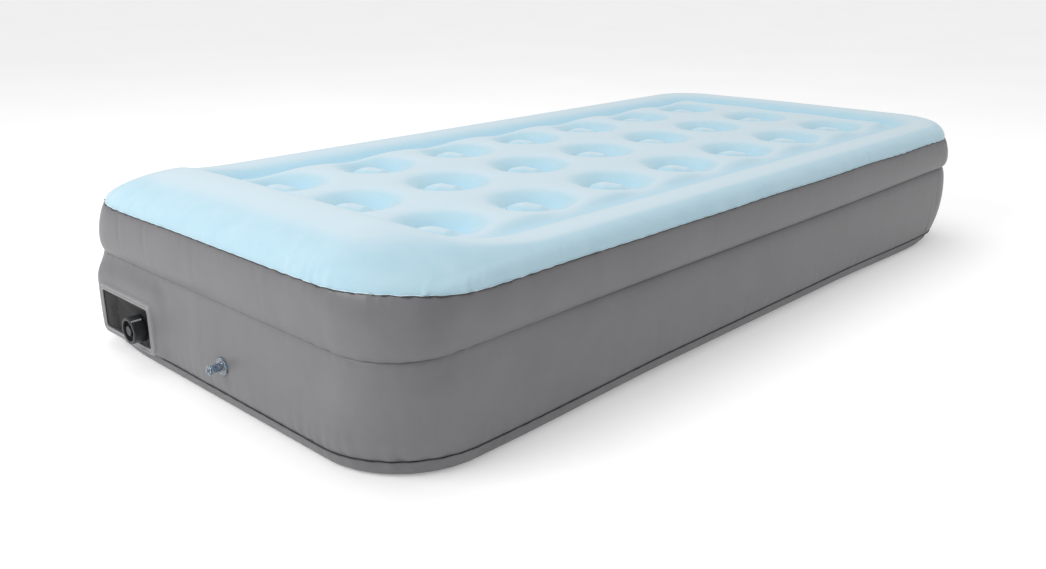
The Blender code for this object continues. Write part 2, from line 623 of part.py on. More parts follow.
def pump_fittings(plastic, rubber):
    """The switch behind the dial, the cord's grommet and the flap that shuts the air outlet."""
    place("selector_switch", pump_box(0.008, 0.018, -0.020, 0.000, 0.0135, 0.0200), plastic)
    middle = (PARTITION_Y + 0.001 + HOUSING_Y - HOUSING_WALL) / 2
    back = HOUSING_DEPTH
    spot = PUMP + Vector((0, middle, -0.020))
    grommet = [(back - 0.004, 0.0030), (back - 0.004, 0.0065), (back - 0.0023, 0.0065), (back - 0.0023, 0.0042)]
    grommet += [(back + 0.0003, 0.0042), (back + 0.0003, 0.0065), (back + 0.002, 0.0065), (back + 0.002, 0.0030)]
    place("cord_grommet", turned(grommet, spot, 16), rubber, origin=spot)
    flap = pump_cylinder(0.015, back + GAP, back + 0.0018, MOTOR_Y, 0.0, 28)
    hinge = PUMP + Vector((back + 0.00105, MOTOR_Y, 0.0168))
    outlet = place("outlet_flap", flap, rubber, origin=hinge)
    lug = pump_box(back + GAP, back + 0.0018, MOTOR_Y - 0.006, MOTOR_Y + 0.006, 0.010, 0.0175)
    cut(outlet, lug, "UNION")


# ---- the air valve ------------------------------------------------------------------------------
def air_valve(clear, clear_plug):
    front = -VALVE_LENGTH
    body = [(-0.0003, VALVE_STEM + 0.0075), (-0.0015, VALVE_STEM + 0.0073), (-0.0018, VALVE_STEM + 0.0015)]
    body += [(-0.0030, VALVE_STEM), (front + 0.0015, VALVE_STEM), (front + 0.0012, VALVE_STEM + 0.0008)]
    body += [(front, VALVE_STEM + 0.0008), (front, VALVE_BORE), (0.012, VALVE_BORE), (0.012, VALVE_STEM)]
    body += [(-0.0003, VALVE_STEM)]
    place("valve_body", turned(body, VALVE, 28), clear, origin=VALVE)
    end = front - GAP
    plug = [(end, VALVE_STEM + 0.0012), (end - 0.0030, VALVE_STEM + 0.0012), (end - 0.0036, VALVE_STEM)]
    plug += [(end - 0.0036, 0.0040), (end - 0.0050, 0.0030), (end - 0.0068, 0.0034), (end - 0.0076, 0.0022)]
    plug += [(end - 0.0076, 0.0), (end + 0.0130, 0.0), (end + 0.0130, 0.0048), (end + 0.0110, 0.0056)]
    plug += [(end, 0.0056)]
    place("valve_plug", turned(plug, VALVE, 28), clear_plug, origin=VALVE)


def plug_tether(clear):
    """A slack strap from the valve's flange to the plug's rim."""
    points = []
    start = Vector((-0.0026, VALVE_STEM + 0.0055, 0.0))
    finish = Vector((-VALVE_LENGTH - 0.0018, VALVE_STEM + 0.0026, 0.0))
    for k in range(11):
        t = k / 10
        sag = math.sin(math.pi * t)
        spot = start.lerp(finish, t) + Vector((0, 0.0050 * sag, -0.0035 * sag))
        points.append(VALVE + spot)
    curve = bpy.data.curves.new("plug_tether", "CURVE")
    curve.dimensions = "3D"
    curve.bevel_depth = 0.0008
    curve.bevel_resolution = 2
    curve.use_fill_caps = True
    strap = curve.splines.new("POLY")
    strap.points.add(len(points) - 1)
    for slot, point in zip(strap.points, points):
        slot.co = (*point, 1.0)
    curve.materials.append(clear)
    bpy.context.scene.collection.objects.link(bpy.data.objects.new("plug_tether", curve))


# ---- assembly -----------------------------------------------------------------------------------
def main():
    clear_scene()
    flock = material("flocked_top", (0.63, 0.80, 0.88), 0.95)
    grey = material("wall_film", (0.20, 0.20, 0.21), 0.45)
    base_film = material("base_film", (0.17, 0.17, 0.18), 0.60)
    inner_film = material("inner_film", (0.45, 0.46, 0.48), 0.50)
    collar = material("pump_collar", (0.19, 0.19, 0.20), 0.45)
    black = material("pump_plastic", (0.025, 0.025, 0.027), 0.42)
    dial_black = material("dial_plastic", (0.022, 0.022, 0.024), 0.35)
    dark_plastic = material("inner_plastic", (0.03, 0.03, 0.03), 0.55)
    marker = material("pointer_white", (0.80, 0.80, 0.80), 0.40)
    steel = material("steel", (0.55, 0.55, 0.56), 0.30, 1.0)
    motor_can = material("motor_can", (0.45, 0.45, 0.46), 0.35, 1.0)
    rubber = material("flap_rubber", (0.03, 0.03, 0.03), 0.80)
    clear = material("clear_vinyl", (0.75, 0.82, 0.88), 0.12)

    top_sheet(flock)
    side_wall(grey)
    bottom_sheet(base_film)
    middle_sheet(inner_film)
    coil_beams(inner_film)
    border_strap(inner_film)
    lower_beams(inner_film)

    pump_frame(collar)
    pump_housing(dark_plastic)
    pump_panel(black)
    panel_screws(steel)
    cord_door(black, steel)
    dial(dial_black, dial_black, marker, dark_plastic)
    blower(dark_plastic, steel, motor_can)
    pump_fittings(dark_plastic, rubber)

    air_valve(clear, clear)
    plug_tether(clear)


main()
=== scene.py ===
import json
import math

import bmesh
import bpy
import numpy as np
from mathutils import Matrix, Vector


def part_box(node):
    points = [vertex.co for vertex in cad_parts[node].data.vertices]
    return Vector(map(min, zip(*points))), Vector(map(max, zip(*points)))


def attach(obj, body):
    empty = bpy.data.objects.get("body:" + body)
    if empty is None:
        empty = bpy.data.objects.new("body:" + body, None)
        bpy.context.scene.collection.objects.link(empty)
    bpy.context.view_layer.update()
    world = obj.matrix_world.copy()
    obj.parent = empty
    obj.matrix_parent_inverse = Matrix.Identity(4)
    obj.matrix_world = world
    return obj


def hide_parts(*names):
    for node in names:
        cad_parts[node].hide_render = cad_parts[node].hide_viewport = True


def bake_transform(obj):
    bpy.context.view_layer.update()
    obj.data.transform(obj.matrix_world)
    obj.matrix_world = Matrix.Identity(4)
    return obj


# Looks of a raised single air bed: flocked quilted top with a moulded pillow, two-tier grey wall, built-in
# pump and air valve. Metres, +X to the foot, +Z up, the head with pump and valve at -X.
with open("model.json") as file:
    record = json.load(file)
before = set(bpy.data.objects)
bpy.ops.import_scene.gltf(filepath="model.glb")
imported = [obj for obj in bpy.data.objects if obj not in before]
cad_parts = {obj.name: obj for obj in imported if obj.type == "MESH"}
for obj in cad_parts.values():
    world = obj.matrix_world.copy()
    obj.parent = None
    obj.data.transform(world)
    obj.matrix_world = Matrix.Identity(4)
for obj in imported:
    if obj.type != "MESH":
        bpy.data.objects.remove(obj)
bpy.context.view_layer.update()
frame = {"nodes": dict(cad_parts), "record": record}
nodes = frame["nodes"]

# ---- sizes, from the frame and its design ---------------------------------------------------------
HALF_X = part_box("top_sheet")[1].x
HALF_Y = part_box("top_sheet")[1].y
SEAM_Z = 0.271
SEAM_HEAD_RISE = 0.014
HEAD_FADE = 0.195
WAIST_Z = 0.189
WAIST_FOOT_RISE = 0.005
FLOOR_SEAM_Z = 0.029
FLOOR_SEAM_SIDE_RISE = 0.006
# how far in from the floor seam the base meets the floor: everywhere, and more along the sides and
# round the foot's corners, less of that at the pump's corner
BASE_TUCK = 0.021
SIDE_TUCK = 0.018
CORNER_TUCK = 0.058
PUMP_CORNER_LESS = 0.55
CORNER_STRAIGHTNESS = 0.75
# corner radii, round from the head's -Y corner: foot -Y, foot +Y, and the corner by the pump
SEAM_RADII = np.array([0.150, 0.163, 0.163, 0.172])
WAIST_RADII = np.array([0.112, 0.124, 0.124, 0.116])
FLOOR_RADII = np.array([0.165, 0.185, 0.185, 0.108])

# heights of the ridge round the top, the trench inside it and the quilt
RIDGE_Z = 0.306
FAR_RIDGE_DROP = 0.003
FOOT_RIDGE_RISE = 0.004
TRENCH_Z = 0.2835
NEAR_TRENCH_RISE = 0.006
SHOULDER_ROUNDNESS = 2.2
BANK_ROUNDNESS = 1.9
QUILT_Z = 0.3015
FIELD_HEAD = -0.757
FIELD_FOOT = 0.855
FIELD_Y = 0.345
FIELD_RADIUS = 0.050
QUILT_EDGE = 0.046
SCALLOP = 0.004
PILLOW_RISE = 0.039
PILLOW_FOOT = -0.62
PILLOW_SLOPE = 0.18
PILLOW_HALF_Y = 0.452
PUMP_SIDE_NARROWER = 0.014
PILLOW_END = 0.170
PILLOW_ROUNDNESS = 1.6
# width of the ridge beside the field and at the head, and where in that width its crest lies
SIDE_GAP = 0.125
HEAD_GAP = 0.210
SIDE_CREST = 0.385
HEAD_CREST = 0.62

DIMPLE_PITCH = 0.227
DIMPLE_COLUMNS = 7
DIMPLE_ROWS = 3
BOWL_DEPTH = 0.0440
BOWL_REACH = 0.059
BOWL_POWER = 2.2
BOWL_X = 0.012
BOWL_Y = -0.003
WELD_RADIUS = 0.045
WELD_START = math.radians(15)
WELD_END = math.radians(245)
# the dome inside the weld: which way it opens, its top, how it falls away and how steep its flank is
DOME_WAY = math.radians(-60)
DOME_Z = 0.2940
DOME_FALL = 0.13
DOME_LEAN = 0.05
DOME_CROWN = 9.0
DOME_BACK = 7.0
DOME_TAPER = 0.22
DOME_RUN = 0.085
DOME_FADE = 0.060
FLANK = 0.0150
# painted shade: the flock is painted bluer below these heights, in the bowls and on the trench's bank, and is
# bluest this much lower; painted sheen: it is painted paler once the upward part of its normal passes
# LEVEL_FROM, and is palest LEVEL_SPAN further on, standing in for the sheen and overhead light its tops catch
HOLLOW_Z = 0.297
HOLLOW_DEPTH = 0.034
BANK_Z = 0.304
BANK_DEPTH = 0.016
LEVEL_FROM = 0.93
LEVEL_SPAN = 0.065

PUMP = Vector((-0.987, 0.2825, 0.0834))
PANEL_Y = 0.0876
PANEL_Z = 0.0364
COLLAR_MARGIN = 0.0134
DIAL_Y = -0.0555
DIAL_Z = -0.0040
DIAL_RADIUS = 0.025
DIAL_HEIGHT = 0.024
DIAL_STANDOFF = 0.001
SPINDLE_RADIUS = 0.005
VALVE = Vector((-0.9815, -0.045, 0.083))
VALVE_STEM = 0.0075
VALVE_BORE = 0.0060
VALVE_LENGTH = 0.0205
GAP = 0.0003

COLUMN_X = [DIMPLE_PITCH * (i - (DIMPLE_COLUMNS - 1) / 2) for i in range(DIMPLE_COLUMNS)]
ROW_Y = [DIMPLE_PITCH * (i - (DIMPLE_ROWS - 1) / 2) for i in range(DIMPLE_ROWS)]


def smoothstep(t):
    t = np.clip(t, 0.0, 1.0)
    return t * t * (3 - 2 * t)


# ---- materials ------------------------------------------------------------------------------------
def surface(name, colours, roughness, patch, bumps,
            metallic=0.0, coat=0.0, sheen=0.0, specular=0.5, clear=0.0):
    """A Principled material whose colour drifts between two tones and whose roughness drifts with it.

    patch is the size of the drift in metres; bumps is a list of (grain size, height) pairs."""
    made = bpy.data.materials.new(name)
    made.use_nodes = True
    tree = made.node_tree
    shader = tree.nodes["Principled BSDF"]
    shader.inputs["Metallic"].default_value = metallic
    shader.inputs["Coat Weight"].default_value = coat
    shader.inputs["Coat Roughness"].default_value = 0.25
    shader.inputs["Sheen Weight"].default_value = sheen
    shader.inputs["Sheen Roughness"].default_value = 0.45
    shader.inputs["Specular IOR Level"].default_value = specular
    shader.inputs["Transmission Weight"].default_value = clear
    place = tree.nodes.new("ShaderNodeTexCoord").outputs["Object"]

    drift = tree.nodes.new("ShaderNodeTexNoise")
    drift.inputs["Scale"].default_value = 1.0 / patch
    drift.inputs["Detail"].default_value = 4.0
    drift.inputs["Roughness"].default_value = 0.6
    tree.links.new(place, drift.inputs["Vector"])
    tones = tree.nodes.new("ShaderNodeValToRGB")
    tones.color_ramp.elements[0].position = 0.34
    tones.color_ramp.elements[1].position = 0.68
    tones.color_ramp.elements[0].color = (*colours[0], 1.0)
    tones.color_ramp.elements[1].color = (*colours[1], 1.0)
    tree.links.new(drift.outputs["Fac"], tones.inputs["Fac"])
    tree.links.new(tones.outputs["Color"], shader.inputs["Base Color"])

    spread = tree.nodes.new("ShaderNodeMapRange")
    spread.inputs["To Min"].default_value = max(0.02, roughness - 0.06)
    spread.inputs["To Max"].default_value = min(1.0, roughness + 0.06)
    tree.links.new(drift.outputs["Fac"], spread.inputs["Value"])
    tree.links.new(spread.outputs["Result"], shader.inputs["Roughness"])

    normal = None
    for grain, height in bumps:
        noise = tree.nodes.new("ShaderNodeTexNoise")
        noise.inputs["Scale"].default_value = 1.0 / grain
        noise.inputs["Detail"].default_value = 3.0
        tree.links.new(place, noise.inputs["Vector"])
        bump = tree.nodes.new("ShaderNodeBump")
        bump.inputs["Strength"].default_value = 1.0
        bump.inputs["Distance"].default_value = height
        tree.links.new(noise.outputs["Fac"], bump.inputs["Height"])
        if normal is not None:
            tree.links.new(normal, bump.inputs["Normal"])
        normal = bump.outputs["Normal"]
    if normal is not None:
        tree.links.new(normal, shader.inputs["Normal"])
    return made


def tinted_by(made, attribute, colour, strength):
    """Mixes a material's colour towards another where a mesh attribute says so."""
    tree = made.node_tree
    shader = tree.nodes["Principled BSDF"]
    before = shader.inputs["Base Color"].links[0].from_socket
    reader = tree.nodes.new("ShaderNodeAttribute")
    reader.attribute_name = attribute
    share = tree.nodes.new("ShaderNodeMapRange")
    share.inputs["To Max"].default_value = strength
    tree.links.new(reader.outputs["Fac"], share.inputs["Value"])
    mix = tree.nodes.new("ShaderNodeMix")
    mix.data_type = "RGBA"
    tree.links.new(share.outputs["Result"], mix.inputs["Factor"])
    tree.links.new(before, mix.inputs["A"])
    mix.inputs["B"].default_value = (*colour, 1.0)
    tree.links.new(mix.outputs["Result"], shader.inputs["Base Color"])


FLOCK = surface("flock", [(0.425, 0.620, 0.715), (0.465, 0.650, 0.738)], 0.93, 0.05,
                [(0.0011, 0.00018), (0.020, 0.00035)], sheen=0.40, specular=0.10)
# painted sheen: the flock's tops are painted paler where they face up
tinted_by(FLOCK, "level", (0.570, 0.690, 0.755), 0.9)
# painted shade: the bowls and the trench's bank are painted bluer
tinted_by(FLOCK, "hollow_shade", (0.37, 0.610, 0.745), 0.75)
WELD = surface("flock_weld", [(0.27, 0.40, 0.47), (0.34, 0.47, 0.54)], 0.75, 0.01,
               [(0.0008, 0.0001)], sheen=0.15)
PVC = surface("grey_vinyl", [(0.153, 0.152, 0.159), (0.172, 0.171, 0.178)], 0.44, 0.09,
              [(0.0009, 0.00003), (0.014, 0.00012), (0.060, 0.0005)], specular=0.45)
BASE_VINYL = surface("base_vinyl", [(0.150, 0.150, 0.156), (0.180, 0.179, 0.185)], 0.58, 0.05,
                     [(0.0012, 0.00006), (0.018, 0.0002)], specular=0.4)
# the seams' flange edges: their real film edge, painted near black as the shade line under the top seam and
# along the floor seam
SEAM_EDGE_AND_SHADE = surface("seam_edge_and_shade", [(0.018, 0.018, 0.019), (0.060, 0.060, 0.063)], 0.55, 0.006,
                    [(0.0015, 0.0001)])
SEAM_PALE = surface("flock_edge", [(0.62, 0.78, 0.86), (0.74, 0.86, 0.92)], 0.85, 0.005, [(0.0008, 0.0001)])
COLLAR = surface("collar_vinyl", [(0.235, 0.235, 0.243), (0.265, 0.264, 0.272)], 0.33, 0.02,
                 [(0.0010, 0.00002), (0.006, 0.0001)], coat=0.15)
PUMP_BLACK = surface("pump_plastic", [(0.005, 0.005, 0.006), (0.009, 0.009, 0.010)], 0.55, 0.012,
                     [(0.0006, 0.00005)], specular=0.20)
DIAL_BLACK = surface("dial_plastic", [(0.010, 0.011, 0.013), (0.016, 0.017, 0.020)], 0.38, 0.01,
                     [(0.0008, 0.00002)], specular=0.38)
# painted highlight: the pointer rib is coloured pale grey to stand in for the glint along the knob's top
POINTER_HIGHLIGHT = surface("pointer_highlight", [(0.30, 0.30, 0.31), (0.42, 0.42, 0.43)], 0.45, 0.004, [(0.0005, 0.00002)])
SCREW = surface("black_screw", [(0.030, 0.030, 0.032), (0.060, 0.060, 0.062)], 0.35, 0.003,
                [(0.0004, 0.00002)], metallic=0.8)
STEEL = surface("bright_steel", [(0.50, 0.50, 0.51), (0.60, 0.60, 0.61)], 0.28, 0.004,
                [(0.0006, 0.00001)], metallic=1.0)
MOTOR_CAN = surface("motor_can", [(0.40, 0.40, 0.41), (0.50, 0.50, 0.50)], 0.36, 0.008,
                    [(0.001, 0.00002)], metallic=1.0)
INNER_PLASTIC = surface("inner_plastic", [(0.024, 0.024, 0.025), (0.036, 0.036, 0.038)], 0.55, 0.01,
                        [(0.0008, 0.00004)])
RUBBER = surface("flap_rubber", [(0.022, 0.022, 0.022), (0.034, 0.034, 0.034)], 0.82, 0.006,
                 [(0.0007, 0.00005)])
INNER_VINYL = surface("inner_vinyl", [(0.42, 0.43, 0.45), (0.50, 0.51, 0.53)], 0.48, 0.04,
                      [(0.0012, 0.00004), (0.012, 0.0001)])
CLEAR = surface("clear_vinyl", [(0.40, 0.50, 0.60), (0.60, 0.70, 0.80)], 0.12, 0.005, [(0.003, 0.0001)],
                coat=0.4, clear=0.85, specular=0.5)


# ---- mesh helpers ---------------------------------------------------------------------------------
def piece(name, points, faces, look, body="bed", sharp=None):
    """A smooth mesh that rides on a body, or on none."""
    mesh = bpy.data.meshes.new(name)
    mesh.from_pydata([tuple(p) for p in points], [], [tuple(f) for f in faces])
    mesh.update()
    mesh.shade_smooth()
    if sharp is not None:
        mesh.set_sharp_from_angle(angle=math.radians(sharp))
    mesh.materials.append(look)
    obj = bpy.data.objects.new(name, mesh)
    bpy.context.scene.collection.objects.link(obj)
    if body:
        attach(obj, body)
    return obj


def loop_faces(first, second):
    """Quads between two closed loops of vertex numbers, facing out when the loops run anticlockwise
    seen from above and the second lies outside or below the first."""
    after_first = np.roll(first, -1)
    after_second = np.roll(second, -1)
    return np.stack([first, second, after_second, after_first], axis=1)


def lofted(rings):
    """Points and quads of a skin through closed rings, an array (rings, points, 3)."""
    count, around = rings.shape[:2]
    numbers = np.arange(count * around).reshape(count, around)
    faces = np.concatenate([loop_faces(numbers[i], numbers[i + 1]) for i in range(count - 1)])
    return rings.reshape(-1, 3), faces


def smooth_curve(points, samples):
    """A Catmull-Rom curve through control points, as an array of `samples` points evenly spread by index."""
    pts = np.array(points, float)
    padded = np.vstack([2 * pts[0] - pts[1], pts, 2 * pts[-1] - pts[-2]])
    spot = np.linspace(0, len(pts) - 1, samples)
    first = np.minimum(spot.astype(int), len(pts) - 2)
    t = (spot - first)[:, None]
    a, b, c, d = (padded[first + i] for i in range(4))
    square = (2 * a - 5 * b + 4 * c - d) * t ** 2
    cube = (3 * b - a - 3 * c + d) * t ** 3
    return 0.5 * (2 * b + (c - a) * t + square + cube)


# ---- outlines -------------------------------------------------------------------------------------
SIDE_LENGTHS = (2 * HALF_X, 2 * HALF_Y, 2 * HALF_X, 2 * HALF_Y)
PERIMETER = sum(SIDE_LENGTHS)
HALF_TURN = PERIMETER / 2


def side_steps(counts):
    """Pairs (side, fraction of the side) for evenly spread points, anticlockwise from the head's -Y
    corner."""
    sides = np.concatenate([np.full(counts[k % 2], k) for k in range(4)])
    fractions = np.concatenate([np.arange(counts[k % 2]) / counts[k % 2] for k in range(4)])
    return sides, fractions


def outline(steps, outset, radii):
    """Points and outward normals of a rounded rectangle, `outset` past the seam. radii go round from
    the head's -Y corner. Each side runs between the middles of its two corner arcs."""
    sides, fractions = steps
    a, b = HALF_X + outset, HALF_Y + outset
    corners = np.array([(-a, -b), (a, -b), (a, b), (-a, b)])
    along = np.array([(1, 0), (0, 1), (-1, 0), (0, -1)])
    r0, r1 = radii[sides], radii[(sides + 1) % 4]
    length = np.where(sides % 2 == 0, 2 * a, 2 * b)
    arc0, arc1 = r0 * math.pi / 4, r1 * math.pi / 4
    straight = length - r0 - r1
    s = fractions * (arc0 + straight + arc1)
    angle0 = math.pi / 4 - s / r0
    angle1 = (s - arc0 - straight) / r1
    in_first = s < arc0
    in_last = s > arc0 + straight
    lean = np.where(in_first, -angle0, np.where(in_last, angle1, 0.0))
    u = np.where(in_first, r0 - r0 * np.sin(angle0), r0 + s - arc0)
    u = np.where(in_last, length - r1 + r1 * np.sin(angle1), u)
    v = np.where(in_first, r0 - r0 * np.cos(angle0), np.where(in_last, r1 - r1 * np.cos(angle1), 0.0))
    ux, uy = along[sides].T
    x = corners[sides, 0] + ux * u - uy * v
    y = corners[sides, 1] + uy * u + ux * v
    # outward is (uy, -ux), leaning towards the side's direction round the last arc and back round the first
    nx = uy * np.cos(lean) + ux * np.sin(lean)
    ny = -ux * np.cos(lean) + uy * np.sin(lean)
    return np.stack([x, y], 1), np.stack([nx, ny], 1)


def inside_distance(x, y, x0, x1, half_y, radius):
    """Distance from a rounded rectangle's outline, positive inside it."""
    qx = np.abs(x - (x0 + x1) / 2) - ((x1 - x0) / 2 - radius)
    qy = np.abs(y) - (half_y - radius)
    outside = np.hypot(np.maximum(qx, 0), np.maximum(qy, 0))
    return radius - outside - np.minimum(np.maximum(qx, qy), 0)


def seam_height(x):
    return SEAM_Z + SEAM_HEAD_RISE * smoothstep(1 - (x + HALF_X) / HEAD_FADE)


def waist_height(x):
    return WAIST_Z + WAIST_FOOT_RISE * smoothstep((x - 0.2) / 0.7)


def away_from_head(x):
    """0 at the head's wall, 1 from a third of the way along the bed."""
    return smoothstep((x + 0.85) / 0.5)


def floor_line(along, corner):
    """The floor seam's height, how far in from it the base meets the floor, and how straight it runs
    there. The base lifts off the floor round three corners, all but the head's -Y one."""
    half_end = SIDE_LENGTHS[1] / 2
    pump_corner = HALF_TURN + SIDE_LENGTHS[0]
    sides = (along < SIDE_LENGTHS[0]) | ((along > HALF_TURN) & (along < pump_corner))
    middle = smoothstep((corner - 0.20) / 0.45) * sides
    by_first = (along < half_end) | (along > PERIMETER - half_end)
    by_pump = np.abs(along - HALF_TURN - SIDE_LENGTHS[0]) < half_end
    lifted = np.exp(-(corner / 0.13) ** 4) * ~by_first * (1 - PUMP_CORNER_LESS * by_pump)
    height = FLOOR_SEAM_Z + FLOOR_SEAM_SIDE_RISE * middle
    tuck = BASE_TUCK + SIDE_TUCK * middle + CORNER_TUCK * lifted
    return height, tuck, 1.0 + CORNER_STRAIGHTNESS * lifted


def way_round(steps):
    """How far round the seam each point lies, and its distance to the nearest corner's middle."""
    sides, fractions = steps
    lengths = np.array(SIDE_LENGTHS)
    starts = np.concatenate([[0], np.cumsum(lengths)[:-1]])
    along = starts[sides] + fractions * lengths[sides]
    corner = np.minimum(fractions, 1 - fractions) * lengths[sides]
    return along, corner


def ripple(along, wavelength, seed, waves=6):
    """A smooth wobble round the closed seam, about 1 high, made of waves near one wavelength."""
    rng = np.random.default_rng(seed)
    total = np.zeros_like(along)
    for _ in range(waves):
        turns = round(PERIMETER / wavelength * rng.uniform(0.65, 1.5))
        total += np.sin(2 * math.pi * turns * along / PERIMETER + rng.uniform(0, 2 * math.pi))
    return total / math.sqrt(waves)


def seam_wobble(along):
    """The top seam's slight rise and fall: a long wave with a short one on it."""
    return 0.0007 * ripple(along, 0.35, 3) + 0.00025 * ripple(along, 0.045, 4)


# ---- the flocked top ------------------------------------------------------------------------------
def dimple_list():
    """Centre and small natural differences of every dimple: (x, y, depth, dome height)."""
    rng = np.random.default_rng(11)
    made = []
    for y in ROW_Y:
        for x in COLUMN_X:
            dx, dy = rng.uniform(-0.0015, 0.0015, 2)
            made.append((x + dx, y + dy, rng.uniform(0.96, 1.05), rng.uniform(-0.0012, 0.0012)))
    return made


DIMPLES = dimple_list()


def bowl_depth(u, v, depth):
    """How far a dimple sinks the quilt: a wide bowl that is deepest on the foot's side."""
    spread = np.hypot(u - BOWL_X, v - BOWL_Y)
    return BOWL_DEPTH * depth * np.exp(-(spread / BOWL_REACH) ** BOWL_POWER)


def dome_shape(u, v, height):
    """The low dome inside the C-shaped weld: its height, and 1 where it stands. The weld is open towards
    the bed's -Y side, where the dome runs out into the bowl's slope."""
    a = u * math.cos(DOME_WAY) + v * math.sin(DOME_WAY)
    b = -u * math.sin(DOME_WAY) + v * math.cos(DOME_WAY)
    z = DOME_Z + height - DOME_FALL * np.maximum(a, 0) - DOME_LEAN * b
    z = z - DOME_CROWN * b ** 2 - DOME_BACK * np.minimum(a, 0) ** 2
    narrower = WELD_RADIUS * DOME_TAPER * smoothstep(a / 0.05)
    spread = np.where(a < 0, np.hypot(a, b), np.abs(b) + narrower)
    inside = smoothstep((WELD_RADIUS - spread) / FLANK) * smoothstep((DOME_RUN - a) / DOME_FADE)
    return z, inside


def quilt_height(x, y):
    """The quilt with its bowls sunk into it, then a dome raised in each."""
    bowl_limit, dome_limit = 0.24, 0.1
    z = np.full_like(x, QUILT_Z)
    for cx, cy, depth, _ in DIMPLES:
        u, v = x - cx, y - cy
        near = (np.abs(u) < bowl_limit) & (np.abs(v) < bowl_limit)
        z[near] -= bowl_depth(u[near], v[near], depth)
    for cx, cy, _, height in DIMPLES:
        u, v = x - cx, y - cy
        near = (np.abs(u) < dome_limit) & (np.abs(v) < dome_limit)
        dome, inside = dome_shape(u[near], v[near], height)
        z[near] += (np.maximum(dome, z[near]) - z[near]) * inside
    return z


def pillow_lift(x, y):
    along = smoothstep((PILLOW_FOOT - x) / PILLOW_SLOPE)
    room = PILLOW_HALF_Y - PUMP_SIDE_NARROWER * (y > 0) - np.abs(y)
    across = 1 - (1 - np.clip(room / PILLOW_END, 0, 1)) ** PILLOW_ROUNDNESS
    return PILLOW_RISE * along * across


def top_height(x, y):
    """The whole top: quilted field, trench round it, side ridges and the pillow."""
    radius = np.where(x < 0, np.where(y < 0, SEAM_RADII[0], SEAM_RADII[3]),
                      np.where(y < 0, SEAM_RADII[1], SEAM_RADII[2]))
    from_seam = np.maximum(inside_distance(x, y, -HALF_X, HALF_X, HALF_Y, radius), 0)
    in_field = inside_distance(x, y, FIELD_HEAD, FIELD_FOOT, FIELD_Y, FIELD_RADIUS)
    gap = from_seam + np.maximum(-in_field, 0)
    t = from_seam / np.maximum(gap, 1e-6)
    head = smoothstep((gap - SIDE_GAP) / (HEAD_GAP - SIDE_GAP)) * smoothstep((-0.5 - x) / 0.1)
    crest_t = SIDE_CREST + (HEAD_CREST - SIDE_CREST) * head
    crest = RIDGE_Z + pillow_lift(x, y) - FAR_RIDGE_DROP * smoothstep(y / 0.40)
    crest = crest + FOOT_RIDGE_RISE * smoothstep((x - 0.80) / 0.12)
    seam = seam_height(x)
    outer = np.clip(1 - t / crest_t, 0, 1)
    shoulder = seam + (crest - seam) * np.sqrt(1 - outer ** SHOULDER_ROUNDNESS)
    inner = np.clip((t - crest_t) / (1 - crest_t), 0, 1)
    trench = TRENCH_Z + NEAR_TRENCH_RISE * smoothstep(-y / 0.30)
    bank = trench + (crest - trench) * (1 - inner ** BANK_ROUNDNESS) ** 0.9
    ridge = np.where(t < crest_t, shoulder, bank)

    side_room = FIELD_Y - np.abs(y)
    end_room = np.minimum(x - FIELD_HEAD, FIELD_FOOT - x)
    share = 1 / (1 + np.exp(np.clip((side_room - end_room) / 0.012, -30, 30)))
    wave_x = np.cos(2 * math.pi * x / DIMPLE_PITCH)
    wave_y = np.cos(2 * math.pi * y / DIMPLE_PITCH)
    wave = share * wave_x + (1 - share) * wave_y
    rise = smoothstep((in_field - SCALLOP * (1 + wave)) / QUILT_EDGE)
    quilted = trench + (quilt_height(x, y) - trench) * rise
    return np.where(in_field > 0, quilted, ridge)


def field_lines(centres, low, high):
    """Grid lines between two ends, close together over the dimples and further apart between them."""
    fine, coarse, fine_reach = 0.0024, 0.0085, 0.050
    lines = [low]
    while lines[-1] < high:
        near = min(abs(lines[-1] - c) for c in centres)
        lines.append(lines[-1] + (fine if near < fine_reach else coarse))
    lines = np.array(lines)
    return low + (lines - low) * (high - low) / (lines[-1] - low)


def border_rings(inner, steps):
    """Rings of points from the quilted field's edge out to the seam, puckered where the seam pulls."""
    count, width, wobble_reach, pucker_reach = 32, 0.13, 0.012, 0.010
    rim, normals = outline(steps, 0.0, SEAM_RADII)
    along, corner = way_round(steps)
    corner_pull = 0.25 + np.exp(-(corner / 0.16) ** 2)
    pucker = 0.0009 * ripple(along, 0.026, 21) * corner_pull
    rings = []
    for i in range(1, count + 1):
        share = math.sin(math.pi / 2 * i / count)
        flat = inner + (rim - inner) * share
        z = top_height(flat[:, 0], flat[:, 1])
        z = z + seam_wobble(along) * np.exp(-((1 - share) * width / wobble_reach))
        shift = pucker * np.exp(-((1 - share) * width / pucker_reach)) * (1 - 0.6 * (i == count))
        flat = flat + normals * shift[:, None]
        rings.append(np.column_stack([flat, z]))
    return rings


def tint_top(obj, points):
    """Marks, for the flock's colour, where it is painted bluer as shade low in the bowls and on the trench's
    bank, and paler as sheen where the top faces up.
    """
    x, y, z = points.T
    field = inside_distance(x, y, FIELD_HEAD, FIELD_FOOT, FIELD_Y, FIELD_RADIUS)
    # painted shade: bluer low in the bowls and on the trench's bank, which face away from the light
    bowls = smoothstep((HOLLOW_Z - z) / HOLLOW_DEPTH) * (field > 0)
    bank = smoothstep((BANK_Z - z) / BANK_DEPTH) * smoothstep(field / 0.05 + 1.7)
    hollow_shade = np.maximum(bowls, bank * smoothstep(1 - field / 0.03))
    facing = np.empty(len(points) * 3, dtype=np.float32)
    obj.data.vertex_normals.foreach_get("vector", facing)
    # painted sheen: paler where the normal points up, for the sheen and overhead light on the tops
    level = smoothstep((facing[2::3] - LEVEL_FROM) / LEVEL_SPAN)
    for attribute, value in (("hollow_shade", hollow_shade), ("level", level)):
        store = obj.data.attributes.new(attribute, "FLOAT", "POINT")
        store.data.foreach_set("value", value.astype(np.float32))


